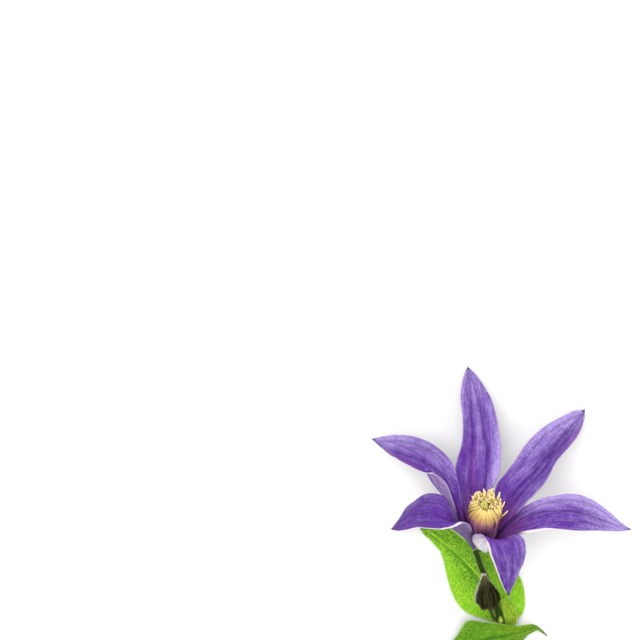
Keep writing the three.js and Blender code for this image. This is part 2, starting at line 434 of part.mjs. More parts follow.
function put(name, geometry, color, roughness) {
  const material = new THREE.MeshStandardMaterial({ color, roughness, metalness: 0 });
  const mesh = new THREE.Mesh(geometry, material);
  mesh.name = name;
  flower.add(mesh);
  return mesh;
}

const VIOLET = 0x7449ad;
const SEPALS = {
  sepal_top: SEPAL_TOP,
  sepal_upper_right: SEPAL_UPPER_RIGHT,
  sepal_right: SEPAL_RIGHT,
  sepal_bottom: SEPAL_BOTTOM,
  sepal_lower_left: SEPAL_LOWER_LEFT,
  sepal_upper_left: SEPAL_UPPER_LEFT,
};
for (const [name, table] of Object.entries(SEPALS)) {
  put(name, blade(table, THICK.sepal, SEPAL_STEPS, SEPAL_ACROSS, 0.6), VIOLET, 0.6);
}

put("receptacle", turned(RECEPTACLE_PROFILE, 16), 0x8a9a4a, 0.7);
put("pistil", turned(PISTIL_PROFILE, 8), 0xc3bd4c, 0.7);

let number = 0;
STAMEN_RINGS.forEach((spec, ring) => {
  for (let i = 0; i < spec[0]; i++) {
    number += 1;
    put("stamen_" + String(number).padStart(2, "0"), stamen(ring, i), 0xeed894, 0.65);
  }
});

put("stem", stalk(STEM, STEM_STEPS, STEM_SIDES), 0x31481b, 0.6);
put("flower_bud", stalk(BUD, 12, 16, (a) => 1 + BUD_RIB * Math.cos(4 * a)), 0x333120, 0.8);
put("bud_stalk", stalk(BUD_STALK, 8, 6), 0x3a4a1e, 0.7);
put("node_bud", stalk(NODE_BUD, 6, 8), 0xb7bf7a, 0.7);
put("leaf_large", blade(LEAF_LARGE, THICK.leaf, 20, 8, 0.5), 0x6fb52a, 0.5);
put("leaf_young", blade(LEAF_YOUNG, THICK.leaf, 8, 4, 0.5), 0xa3c64a, 0.5);
put("leaf_lower", blade(LEAF_LOWER, THICK.leaf, 20, 8, 0.5), 0x4f8f2c, 0.5);

export default flower;
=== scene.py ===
"""The looks of a clematis flower as picked, lying on a pale surface: six violet
sepals, a cream boss of stamens, the cut stem with its bud, and three leaves.
The tables are the flower's own curves in millimetres, +Z up."""
import math

import bmesh
import bpy
import numpy as np
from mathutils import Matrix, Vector


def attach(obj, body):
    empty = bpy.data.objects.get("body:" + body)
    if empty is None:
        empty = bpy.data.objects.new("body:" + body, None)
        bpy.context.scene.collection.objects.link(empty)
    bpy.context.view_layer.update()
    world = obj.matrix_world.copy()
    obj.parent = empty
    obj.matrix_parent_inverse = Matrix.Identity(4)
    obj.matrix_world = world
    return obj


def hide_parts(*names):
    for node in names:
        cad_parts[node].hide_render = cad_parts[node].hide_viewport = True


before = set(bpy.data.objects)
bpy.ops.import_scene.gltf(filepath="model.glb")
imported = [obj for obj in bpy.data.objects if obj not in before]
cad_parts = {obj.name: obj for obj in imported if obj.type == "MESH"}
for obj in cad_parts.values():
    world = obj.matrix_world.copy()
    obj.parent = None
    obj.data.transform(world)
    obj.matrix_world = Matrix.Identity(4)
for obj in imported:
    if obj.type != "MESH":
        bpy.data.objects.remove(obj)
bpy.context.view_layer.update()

# stations from base to tip; each is five points across: margin, flank, midrib, flank, margin
SEPAL_TOP = [
    [-7.48, 7.76, 13.56, -6.86, 7.83, 13.41, -6.24, 7.9, 13.26, -5.61, 7.89, 13.41, -4.99, 7.89, 13.56],
    [-9.85, 10.48, 16.56, -8.27, 10.8, 16.17, -6.67, 11.04, 15.96, -5.59, 11.25, 16.17, -4.49, 11.38, 16.56],
    [-12.41, 16.42, 18.26, -9.87, 16.35, 17.52, -7.33, 16.21, 17.16, -5.67, 16.2, 17.52, -4.01, 16.12, 18.26],
    [-13.81, 22.29, 18.96, -10.83, 22.12, 18.16, -7.84, 21.93, 17.76, -5.69, 21.81, 18.16, -3.54, 21.66, 18.96],
    [-14.5, 26.62, 18.96, -11.19, 26.45, 18.46, -7.87, 26.26, 17.76, -4.73, 26.26, 18.61, -1.58, 26.25, 19.26],
    [-13.88, 30.48, 18.36, -10.76, 30.49, 18.01, -7.64, 30.43, 17.26, -4.3, 30.48, 18.11, -0.96, 30.5, 18.76],
    [-12.63, 34.32, 17.16, -9.96, 34.51, 16.85, -7.28, 34.58, 16.16, -4.09, 34.49, 16.96, -0.89, 34.33, 17.56],
    [-11.98, 38.74, 15.36, -9.67, 38.96, 15.1, -7.35, 39.01, 14.46, -4.32, 38.92, 15.16, -1.29, 38.75, 15.66],
    [-11.99, 43.47, 12.86, -9.87, 43.63, 12.64, -7.74, 43.59, 12.06, -4.94, 43.73, 12.6, -2.13, 43.77, 12.96],
    [-12.38, 48.19, 9.56, -10.34, 48.31, 9.53, -8.29, 48.18, 9.16, -5.81, 48.25, 9.45, -3.33, 48.19, 9.56],
    [-11.93, 52.11, 6.16, -10.44, 52.25, 6.09, -8.95, 52.25, 5.86, -7.14, 52.14, 6.09, -5.33, 51.89, 6.16],
    [-10.97, 55.61, 2.36, -10.21, 55.58, 2.31, -9.45, 55.55, 2.26, -8.55, 55.58, 2.31, -7.66, 55.61, 2.36],
    [-9.99, 57.83, 0.18, -9.91, 57.86, 0.18, -9.84, 57.89, 0.18, -9.76, 57.86, 0.18, -9.69, 57.83, 0.18],
]
SEPAL_UPPER_RIGHT = [
    [-4.06, 7.73, 13.56, -3.73, 7.47, 13.81, -3.39, 7.2, 14.06, -3, 6.92, 14.36, -2.62, 6.64, 14.66],
    [-3.42, 11.36, 16.16, -2.68, 11.01, 16.18, -2.05, 10.62, 16.36, -1.35, 10.2, 16.93, -0.77, 9.75, 17.66],
    [-3.16, 15.63, 17.56, -1.83, 15.04, 17.35, -0.77, 14.44, 17.66, 0.74, 13.71, 18.84, 2.06, 12.96, 20.36],
    [-2.9, 19.41, 18.16, -0.88, 18.51, 17.75, 0.85, 17.76, 18.06, 2.94, 16.84, 19.69, 4.83, 16.04, 21.86],
    [-1.95, 23.3, 18.36, 0.62, 21.97, 17.98, 3.1, 20.74, 17.96, 5.58, 19.87, 19.68, 7.92, 19.17, 21.96],
    [0.78, 26.67, 18.16, 3.42, 25.41, 18.05, 6.11, 24.01, 17.56, 8.56, 23.07, 19.18, 10.95, 22.25, 21.16],
    [3.73, 30.43, 17.36, 6.43, 28.86, 17.33, 9.17, 26.95, 16.56, 11.39, 26.44, 18.17, 13.6, 26.01, 19.96],
    [6.66, 34.55, 15.56, 9.5, 32.83, 15.6, 12.29, 30.62, 14.76, 13.98, 30.16, 16.26, 15.67, 29.7, 17.76],
    [10.31, 38.18, 12.96, 12.98, 36.51, 12.98, 15.48, 34.33, 12.16, 16.96, 33.49, 13.46, 18.44, 32.66, 14.76],
    [14.24, 40.84, 9.76, 16.51, 39.41, 9.78, 18.57, 37.53, 9.16, 20, 36.59, 10.16, 21.43, 35.64, 11.16],
    [18.01, 42.64, 6.56, 19.76, 41.59, 6.41, 21.39, 40.29, 5.96, 22.58, 39.59, 6.71, 23.78, 38.89, 7.46],
    [21.93, 44.38, 2.86, 22.97, 43.6, 2.74, 23.94, 42.7, 2.46, 24.53, 42.41, 2.86, 25.12, 42.12, 3.26],
    [25.47, 44.91, 0.18, 25.53, 44.88, 0.18, 25.59, 44.85, 0.18, 25.63, 44.78, 0.18, 25.68, 44.7, 0.18],
]
SEPAL_RIGHT = [
    [-2.23, 6.06, 15.36, -2.35, 5.64, 15.86, -2.47, 5.23, 16.36, -2.58, 4.81, 16.81, -2.7, 4.39, 17.26],
    [0.07, 9.28, 16.56, 0.15, 8.4, 17.42, 0.08, 7.61, 18.36, -0.03, 6.84, 19.02, -0.3, 6.18, 19.76],
    [2.77, 12.9, 18.36, 3.07, 11.29, 19.46, 3.08, 9.86, 20.76, 2.92, 8.93, 21.51, 2.62, 8.09, 22.36],
    [5.23, 15.79, 20.16, 5.65, 13.71, 21.56, 6.07, 11.64, 22.96, 5.79, 10.5, 23.76, 5.52, 9.36, 24.56],
    [8.08, 17.55, 21.76, 8.49, 15.43, 23.55, 9.21, 13.1, 24.86, 9.03, 11.64, 25.31, 8.85, 10.19, 25.76],
    [11.3, 18.94, 22.56, 11.77, 16.8, 24.85, 12.54, 14.21, 26.06, 12.43, 12.53, 26.25, 12.38, 10.78, 26.26],
    [14.72, 19.74, 22.56, 15.58, 17.45, 25.11, 16.24, 14.63, 26.16, 16.15, 12.7, 26.19, 15.98, 10.57, 25.66],
    [18.68, 20.24, 21.46, 19.72, 17.55, 23.89, 20.04, 14.44, 24.96, 20.07, 12.35, 24.72, 19.82, 10.1, 23.96],
    [23.03, 19.68, 19.26, 23.94, 16.75, 21.33, 23.97, 13.54, 22.36, 24.05, 11.74, 22.14, 23.74, 9.82, 21.46],
    [27.43, 17.59, 16.66, 27.99, 14.93, 18.1, 27.84, 12.12, 18.86, 27.86, 10.92, 18.65, 27.6, 9.66, 18.16],
    [31.74, 14.42, 13.76, 31.9, 12.64, 14.52, 31.64, 10.82, 14.86, 31.65, 10.01, 14.73, 31.52, 9.18, 14.46],
    [35.39, 11.48, 10.96, 35.4, 10.68, 11.19, 35.27, 9.9, 11.26, 35.21, 9.35, 11.16, 35.14, 8.8, 11.06],
    [38.78, 9.23, 8.36, 38.84, 9.17, 8.36, 38.9, 9.11, 8.36, 38.84, 9.03, 8.36, 38.78, 8.96, 8.36],
]
SEPAL_BOTTOM = [
    [-6.72, 3.38, 18.16, -6.13, 3.27, 18.31, -5.54, 3.16, 18.46, -4.92, 3.27, 18.36, -4.31, 3.39, 18.26],
    [-7.97, 4.19, 20.36, -6.79, 3.83, 20.87, -5.63, 3.84, 21.26, -4.19, 4.08, 21.32, -2.77, 4.71, 21.26],
    [-9.77, 6.4, 23.76, -7.79, 5.22, 24.48, -5.78, 4.99, 24.86, -3.2, 5.5, 25.02, -0.59, 6.57, 24.96],
    [-9.55, 8.18, 27.26, -7.25, 6.77, 27.89, -4.92, 6.29, 28.16, -1.67, 6.93, 28.27, 1.59, 8.12, 28.16],
    [-7.38, 8.48, 29.96, -5.18, 7.62, 30.44, -3, 7.16, 30.86, 0.28, 7.68, 30.44, 3.55, 8.6, 29.96],
    [-5.54, 7.35, 31.06, -3.26, 7.12, 31.56, -0.99, 6.84, 31.86, 1.93, 7.4, 31.11, 4.84, 7.91, 30.16],
    [-4.63, 5.62, 30.46, -2.31, 5.24, 31.06, -0.06, 5.17, 31.16, 2.76, 5.34, 30.41, 5.52, 5.83, 29.16],
    [-4.05, 3.71, 28.56, -1.67, 3.06, 29.23, 0.64, 3.17, 29.26, 3.21, 3.01, 28.53, 5.71, 3.61, 27.16],
    [-3.14, 1.41, 25.36, -0.98, 0.71, 25.89, 1.13, 0.85, 25.86, 3.31, 0.52, 25.29, 5.45, 1.02, 24.16],
    [-1.99, -1.29, 21.16, -0.25, -1.92, 21.52, 1.48, -1.87, 21.46, 3.07, -2.18, 21.07, 4.66, -1.81, 20.26],
    [-0.84, -4.34, 16.66, 0.43, -4.73, 16.92, 1.73, -4.62, 16.86, 2.75, -5.02, 16.67, 3.8, -4.91, 16.16],
    [0.53, -7.9, 11.56, 1.26, -8.06, 11.67, 1.97, -8.05, 11.66, 2.47, -8.08, 11.57, 2.95, -7.95, 11.36],
    [2, -10.84, 7.16, 2.09, -10.87, 7.16, 2.18, -10.9, 7.16, 2.25, -10.87, 7.16, 2.33, -10.84, 7.16],
]
SEPAL_LOWER_LEFT = [
    [-9.65, 4.78, 16.86, -9.28, 4.42, 17.21, -8.91, 4.05, 17.56, -8.41, 3.77, 17.81, -7.91, 3.49, 18.06],
    [-10.84, 6.58, 18.56, -10.39, 5.8, 19.26, -9.7, 5.32, 19.86, -9.1, 5.02, 20.06, -8.26, 5.02, 20.16],
    [-12.73, 9.41, 20.76, -12.19, 8.19, 21.83, -11.33, 7.46, 22.76, -10.14, 7.13, 22.93, -8.63, 7.3, 22.96],
    [-14.3, 12.67, 22.76, -14.13, 10.71, 24.11, -13.53, 9.42, 25.36, -11.7, 9.21, 25.77, -9.32, 9.82, 26.06],
    [-15.7, 15.57, 24.06, -15.74, 13.06, 25.6, -15.53, 10.87, 27.16, -13.64, 10.77, 27.84, -11, 11.61, 28.56],
    [-17.05, 18.12, 24.46, -17.07, 15.33, 26.38, -17.35, 12.27, 28.16, -15.57, 11.98, 28.99, -13.29, 12.27, 30.06],
    [-18.67, 19.85, 23.96, -18.94, 17.14, 26.61, -19.27, 13.75, 28.26, -17.59, 12.67, 29, -15.92, 11.47, 29.56],
    [-20.99, 20.41, 22.36, -21.8, 17.73, 25.15, -21.59, 14.7, 26.76, -20.65, 12.84, 27.23, -19.08, 10.77, 26.96],
    [-23.58, 19.91, 19.76, -24.52, 17.37, 22.22, -24.16, 14.66, 23.76, -23.73, 12.75, 23.6, -22.49, 10.74, 22.86],
    [-26.32, 17.83, 16.66, -27.03, 15.92, 18.3, -26.85, 13.95, 19.46, -26.74, 12.25, 19.05, -25.92, 10.5, 18.26],
    [-28.76, 15.67, 12.66, -29.29, 14.09, 13.73, -29.26, 12.45, 14.56, -29.28, 10.96, 14.19, -28.94, 9.42, 13.66],
    [-30.92, 12.24, 8.76, -31.25, 11.45, 9.2, -31.39, 10.63, 9.56, -31.4, 9.71, 9.35, -31.23, 8.76, 9.06],
    [-33.19, 9.13, 4.96, -33.23, 9.05, 4.96, -33.28, 8.98, 4.96, -33.23, 8.9, 4.96, -33.19, 8.82, 4.96],
]
SEPAL_UPPER_LEFT = [
    [-8.49, 7.33, 13.86, -8.81, 7, 14.21, -9.12, 6.66, 14.56, -9.44, 6.3, 14.96, -9.76, 5.94, 15.36],
    [-10.33, 9.88, 16.56, -11.27, 9.55, 16.87, -11.89, 9.34, 17.36, -11.83, 9.18, 18.02, -11.45, 9.14, 18.86],
    [-11.79, 12.54, 18.36, -13.22, 12.21, 18.88, -14.14, 12.03, 19.66, -14.2, 12.03, 20.58, -13.58, 12.22, 21.86],
    [-12.55, 16.09, 20.16, -14.32, 15.48, 20.61, -15.59, 14.96, 21.36, -15.49, 15.03, 22.31, -14.56, 15.26, 23.76],
    [-13.19, 19.57, 21.16, -15.32, 18.71, 21.64, -16.97, 18.01, 22.46, -16.67, 17.88, 23.53, -15.59, 18.01, 25.16],
    [-13.82, 22.58, 21.76, -16.36, 21.28, 22.34, -18.63, 20.13, 23.16, -17.91, 20.23, 24.2, -16.51, 20.72, 25.86],
    [-14.33, 25.12, 21.86, -17.38, 23.68, 22.71, -20.43, 22.23, 23.56, -19.24, 22.45, 24.54, -17.41, 23.11, 26.16],
    [-14.99, 28.07, 21.26, -18.37, 26.46, 22.59, -22.07, 24.61, 23.46, -20.75, 24.64, 24.31, -19.03, 25.02, 25.76],
    [-16.56, 30.69, 19.76, -19.8, 29.23, 21.78, -23.38, 27.1, 22.86, -22.43, 26.73, 23.51, -21.36, 26.59, 24.46],
    [-19.31, 33.43, 17.36, -22.44, 32.08, 19.87, -25.26, 29.55, 21.06, -24.7, 28.45, 21.54, -24.1, 27.21, 21.86],
    [-23.11, 35.77, 14.56, -26.14, 34.03, 16.86, -28.31, 31.27, 17.96, -27.87, 30.07, 17.95, -27.25, 28.65, 17.66],
    [-27.52, 37.1, 11.36, -29.96, 35.13, 13.08, -31.5, 32.51, 13.96, -31.17, 31.55, 13.73, -30.58, 30.4, 13.26],
    [-31.96, 37.28, 8.16, -33.42, 35.6, 9.12, -34.26, 33.66, 9.66, -34.03, 32.92, 9.37, -33.64, 32.12, 8.96],
    [-35.66, 36.84, 4.26, -36.28, 35.87, 4.51, -36.73, 34.85, 4.66, -36.73, 34.48, 4.56, -36.57, 34.05, 4.36],
    [-38.78, 36.11, 0.18, -38.82, 36.02, 0.18, -38.87, 35.93, 0.18, -38.82, 35.85, 0.18, -38.78, 35.77, 0.18],
]
LEAF_LARGE = [
    [-0.32, -20.02, 0.96, 0.02, -19.94, 0.96, 0.35, -19.87, 0.96, 0.69, -19.77, 0.96, 1.02, -19.68, 0.96],
    [-5.01, -18.54, 1.16, -2.83, -17.38, 1.31, -0.64, -16.22, 1.26, 2.44, -17.11, 1.26, 5.52, -18, 1.06],
    [-9.71, -16.97, 0.66, -6.08, -14.7, 1.46, -2.44, -12.4, 1.46, 2.31, -13.96, 1.51, 7.06, -15.5, 0.76],
    [-12.72, -14.45, 0.56, -8.58, -11.67, 1.61, -4.42, -8.9, 1.46, 1.42, -10.44, 1.71, 7.27, -12, 0.76],
    [-14.79, -10.65, 0.51, -10.75, -8.09, 1.64, -6.7, -5.5, 1.36, -0.04, -6.71, 1.86, 6.64, -7.89, 0.76],
    [-15.98, -6.53, 0.66, -12.64, -4.61, 1.81, -9.29, -2.56, 1.56, -2.52, -3.17, 2.26, 4.27, -3.6, 1.16],
    [-16.97, -2.43, 0.96, -14.6, -1.12, 1.91, -12.2, 0.32, 1.86, -6.14, 0.16, 2.75, -0.03, 0.26, 1.86],
    [-17.96, 1.45, 1.46, -16.55, 2.13, 2.11, -15.1, 2.93, 2.16, -10.29, 2.78, 3.05, -5.39, 2.89, 2.56],
    [-19.5, 3.55, 1.96, -18.61, 4.18, 2.36, -17.69, 4.89, 2.36, -14.01, 5, 3.06, -10.27, 5.26, 2.96],
    [-21.49, 5.85, 2.26, -20.89, 6.34, 2.46, -20.28, 6.84, 2.46, -17.79, 7.8, 2.86, -15.28, 8.78, 2.86],
    [-23.06, 7.02, 1.96, -22.72, 7.6, 2.01, -22.39, 8.18, 2.06, -21.2, 8.72, 2.31, -19.97, 9.23, 2.36],
    [-24.34, 8.85, 1.16, -24.32, 8.94, 1.16, -24.31, 9.03, 1.16, -24.22, 9.08, 1.16, -24.13, 9.12, 1.16],
]
LEAF_YOUNG = [
    [1.65, -21.8, 3.26, 1.83, -21.84, 3.21, 2.02, -21.87, 3.16, 2.23, -21.87, 3.21, 2.44, -21.87, 3.26],
    [1.48, -20.08, 4.16, 2.15, -20.19, 3.62, 2.86, -20.35, 3.26, 3.67, -20.22, 3.32, 4.52, -20.14, 3.56],
    [1.13, -17.85, 4.96, 1.92, -17.94, 4.27, 2.74, -18.05, 3.76, 3.74, -17.9, 3.92, 4.78, -17.76, 4.26],
    [0.65, -15.7, 5.26, 1.45, -15.76, 4.52, 2.28, -15.82, 3.96, 3.28, -15.63, 4.27, 4.32, -15.44, 4.76],
    [0.3, -13.68, 5.16, 0.9, -13.72, 4.66, 1.51, -13.77, 4.16, 2.19, -13.71, 4.46, 2.87, -13.65, 4.76],
    [0.39, -11.72, 4.66, 0.46, -11.68, 4.61, 0.54, -11.64, 4.56, 0.62, -11.67, 4.61, 0.69, -11.69, 4.66],
]
LEAF_LOWER = [
    [-15.03, -39.15, 3.46, -14.79, -39.06, 3.46, -14.54, -38.97, 3.46, -14.27, -39, 3.46, -14, -39.03, 3.46],
    [-17.27, -34.85, 3.36, -15.91, -34.89, 4.3, -14.45, -34.84, 4.86, -12.59, -36.38, 4.8, -10.64, -37.83, 4.36],
    [-17.36, -29.79, 2.36, -15.09, -30.27, 4.55, -12.68, -30.63, 5.96, -9.14, -33.24, 5.2, -5.45, -35.73, 3.66],
    [-15.1, -26.04, 2.26, -12.52, -26.85, 5.06, -9.84, -27.51, 6.86, -5.46, -30.4, 5.16, -0.98, -33.13, 2.46],
    [-12.82, -22.69, 2.86, -9.69, -24.22, 5.61, -6.54, -25.58, 7.36, -2, -27.87, 5.11, 2.55, -30, 1.86],
    [-10.36, -18.87, 4.16, -6.6, -21.74, 6.41, -2.92, -24.51, 7.46, 1.04, -25.96, 5.41, 4.94, -27.34, 2.56],
    [-5.7, -19.02, 5.76, -2.42, -21.4, 6.81, 0.73, -23.74, 7.06, 3.66, -24.52, 5.56, 6.5, -25.28, 3.46],
    [-0.31, -19.59, 6.76, 2.04, -21.24, 6.85, 4.25, -22.81, 6.36, 6.04, -23.26, 5.46, 7.72, -23.66, 4.16],
    [4.88, -20.26, 6.06, 6.16, -21.18, 6.05, 7.33, -22.06, 5.66, 8.3, -22.32, 5.16, 9.22, -22.57, 4.46],
    [9.51, -20.05, 4.76, 9.95, -20.56, 4.74, 10.28, -21.1, 4.56, 10.67, -21.44, 4.31, 11.07, -21.79, 4.06],
    [12.27, -21.8, 2.06, 12.27, -22.01, 2.06, 12.27, -22.22, 2.06, 12.32, -22.43, 2.01, 12.37, -22.63, 1.96],
    [14.16, -23.62, 0.24, 14.18, -23.68, 0.24, 14.19, -23.74, 0.24, 14.19, -23.8, 0.24, 14.19, -23.86, 0.24],
]
FLOWER_CENTRE = [-6.07, 5.5, 15.96]
FLOWER_AXIS = [0.055, 0.705, 0.707]
STEM = [
    [-6.02, 4.52, 14.86, 1.15],
    [-6.57, 3.69, 13.26, 1],
    [-7.19, 2.75, 11.96, 0.9],
    [-7.24, 1.24, 11.06, 0.88],
    [-6.69, -0.77, 10.36, 0.88],
    [-5.94, -2.65, 9.76, 0.88],
    [-5.06, -4.64, 9.06, 0.88],
    [-3.97, -7.45, 7.96, 0.9],
    [-2.88, -10.73, 6.66, 0.92],
    [-1.7, -14.2, 5.16, 0.98],
    [-0.79, -16.75, 4.06, 1.1],
    [-0.21, -18.88, 3.36, 1.5],
    [-0.03, -20.57, 2.86, 1.25],
    [-0.57, -23.73, 2.26, 1.05],
    [-2.46, -27.73, 1.76, 1.02],
    [-5.42, -31.36, 1.36, 1.02],
    [-8.91, -34.73, 1.11, 1.05],
    [-12.01, -37.83, 1.16, 1.15],
    [-13.85, -40.23, 1.51, 1.5],
    [-15.09, -42.85, 1.21, 1.2],
    [-16.21, -46.67, 1.04, 1.08],
    [-17, -50.63, 1.02, 1.06],
    [-17.36, -54.59, 1.02, 1.06],
    [-17.49, -57.93, 1.04, 1.08],
]
BUD = [
    [-3.59, -14.43, 10.96, 0.55],
    [-3.61, -14.09, 11.04, 1.3],
    [-3.65, -13.6, 11.16, 2.1],
    [-3.72, -12.75, 11.36, 2.9],
    [-3.86, -11.55, 11.61, 3.2],
    [-4.09, -10.09, 11.87, 3.05],
    [-4.34, -8.65, 12.11, 2.55],
    [-4.59, -7.33, 12.3, 1.95],
    [-4.8, -6.03, 12.43, 1.3],
    [-4.94, -4.97, 12.51, 0.75],
    [-5.06, -4.12, 12.56, 0.25],
]
BUD_STALK = [
    [-1.88, -18.21, 4.96, 0.55],
    [-2.46, -17.65, 6.16, 0.47],
    [-2.99, -16.5, 8.16, 0.45],
    [-3.4, -15.51, 9.66, 0.5],
]
NODE_BUD = [
    [-0.11, -19.23, 5.41, 0.3],
    [-0.17, -18.88, 5.52, 0.62],
    [-0.25, -18.36, 5.69, 0.58],
    [-0.33, -17.83, 5.85, 0.36],
    [-0.39, -17.49, 5.96, 0.15],
]
CAMERA_XY = [-54.92, 72.33]

MM = 0.001
rng = np.random.default_rng(20)


# ---- numbers and shapes ---------------------------------------------------
def lin(r, g, b):
    """A display colour from 0 to 255 as the linear colour that a shader takes."""
    c = np.array([r, g, b], float) / 255
    c = np.where(c <= 0.04045, c / 12.92, ((c + 0.055) / 1.055) ** 2.4)
    return (float(c[0]), float(c[1]), float(c[2]), 1.0)


def spline(points, t):
    """Uniform Catmull-Rom through points (n, ...) at t from 0 to n-1."""
    p = np.asarray(points, float)
    t = np.clip(np.asarray(t, float), 0, len(p) - 1)
    i = np.minimum(np.floor(t).astype(int), len(p) - 2)
    f = (t - i).reshape((-1,) + (1,) * (p.ndim - 1))
    q = np.concatenate([[2 * p[0] - p[1]], p, [2 * p[-1] - p[-2]]])
    a, b, c, d = q[i], q[i + 1], q[i + 2], q[i + 3]
    return 0.5 * (2 * b + (c - a) * f + (2 * a - 5 * b + 4 * c - d) * f**2 + (3 * b - a - 3 * c + d) * f**3)


def curve_at(pairs, x):
    """Smooth value at x of a list of (x, value) pairs."""
    pairs = np.asarray(pairs, float)
    return np.interp(x, pairs[:, 0], pairs[:, 1])


def unit(v):
    return v / np.maximum(np.linalg.norm(v, axis=-1, keepdims=True), 1e-12)


def ramp(x, a, b):
    t = np.clip((x - a) / (b - a), 0, 1)
    return t * t * (3 - 2 * t)


def bell(x, width):
    return np.exp(-((x / width) ** 2))


def noise(x, y, seed):
    """Smooth noise from -1 to 1, the same each run."""
    x, y = np.broadcast_arrays(np.asarray(x, float), np.asarray(y, float))
    ix, iy = np.floor(x), np.floor(y)
    fx, fy = x - ix, y - iy
    ux, uy = fx * fx * (3 - 2 * fx), fy * fy * (3 - 2 * fy)

    def h(a, b):
        v = np.sin(a * 127.1 + b * 311.7 + seed * 74.7) * 43758.5453
        return 2 * (v - np.floor(v)) - 1

    top = h(ix, iy) * (1 - ux) + h(ix + 1, iy) * ux
    low = h(ix, iy + 1) * (1 - ux) + h(ix + 1, iy + 1) * ux
    return top * (1 - uy) + low * uy


def fractal(x, y, seed, octaves=3):
    out, amp = 0, 1
    for k in range(octaves):
        out = out + amp * noise(x * 2**k + 11.3 * k, y * 2**k - 5.1 * k, seed + k)
        amp *= 0.5
    return out / 1.75


# ---- mesh building --------------------------------------------------------
class Shape:
    """Vertices in millimetres, faces, and named values at each vertex."""

    def __init__(self, names):
        self.names = list(names)
        self.v, self.f, self.a, self.n = [], [], {k: [] for k in self.names}, 0

    def add(self, verts, faces, **values):
        verts = np.asarray(verts, float).reshape(-1, 3)
        self.v.append(verts)
        self.f.extend([tuple(int(i) + self.n for i in f) for f in faces])
        for k in self.names:
            val = values.get(k, 0.0)
            self.a[k].append(np.broadcast_to(np.asarray(val, float), (len(verts),)).astype(float))
        self.n += len(verts)

    def make(self, name, material, stands_for=(), smooth=True):
        v = np.concatenate(self.v) * MM
        mesh = bpy.data.meshes.new(name)
        mesh.from_pydata(v.tolist(), [], self.f)
        mesh.validate()
        for k in self.names:
            val = np.concatenate(self.a[k]).astype(np.float32)
            at = mesh.attributes.new(k, "FLOAT", "POINT")
            at.data.foreach_set("value", val)
        bm = bmesh.new()
        bm.from_mesh(mesh)
        bmesh.ops.recalc_face_normals(bm, faces=bm.faces)
        bm.to_mesh(mesh)
        bm.free()
        mesh.polygons.foreach_set("use_smooth", [smooth] * len(mesh.polygons))
        mesh.materials.append(material)
        mesh.update()
        o = bpy.data.objects.new(name, mesh)
        bpy.context.scene.collection.objects.link(o)
        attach(o, "root")
        if stands_for:
            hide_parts(*stands_for)
        return o


def ring_faces(rows, n, base=0):
    """Quads between closed rings of n points."""
    out = []
    for i in range(rows - 1):
        for j in range(n):
            k = (j + 1) % n
            out.append((base + i * n + j, base + i * n + k, base + (i + 1) * n + k, base + (i + 1) * n + j))
    return out


def strip_cap(start, n):
    """Faces that close a ring of n points from side to side."""
    out = []
    for j in range(n // 2 - 1):
        a, b, c, d = start + j, start + j + 1, start + n - 2 - j, start + n - 1 - j
        out.append((a, d, c, b) if b != c else (a, d, c))
    return out


def frames(path):
    """Tangents and a steady pair of cross directions along a path."""
    t = unit(np.gradient(path, axis=0))
    side = np.array([1.0, 0, 0]) if abs(t[0][0]) < 0.8 else np.array([0, 1.0, 0])
    a = np.zeros_like(path)
    for i in range(len(path)):
        side = side - t[i] * (side @ t[i])
        side = side / np.linalg.norm(side)
        a[i] = side
    return t, a, np.cross(t, a)


def tube(path, radius, sides):
    """Rings of a round tube; radius (n,) or (n, sides)."""
    t, a, b = frames(path)
    ang = np.arange(sides) * 2 * math.pi / sides
    r = np.broadcast_to(np.asarray(radius, float).reshape(len(path), -1), (len(path), sides))
    return path[:, None, :] + r[..., None] * (
        np.cos(ang)[None, :, None] * a[:, None, :] + np.sin(ang)[None, :, None] * b[:, None, :]
    )


def hair(shape, root, direction, length, radius, bend, steps=4, **values):
    """A fine tapering hair of three sides, closed at both ends."""
    d = unit(np.asarray(direction, float))
    s = np.linspace(0, 1, steps + 1)[:, None]
    path = root + d * length * s + np.asarray(bend, float) * length * s**2
    r = radius * (1 - 0.85 * s[:, 0])
    rings = tube(path, r, 3)
    faces = ring_faces(steps + 1, 3) + [(2, 1, 0)]
    k = steps * 3
    faces.append((k, k + 1, k + 2))
    shape.add(rings.reshape(-1, 3), faces, **values)


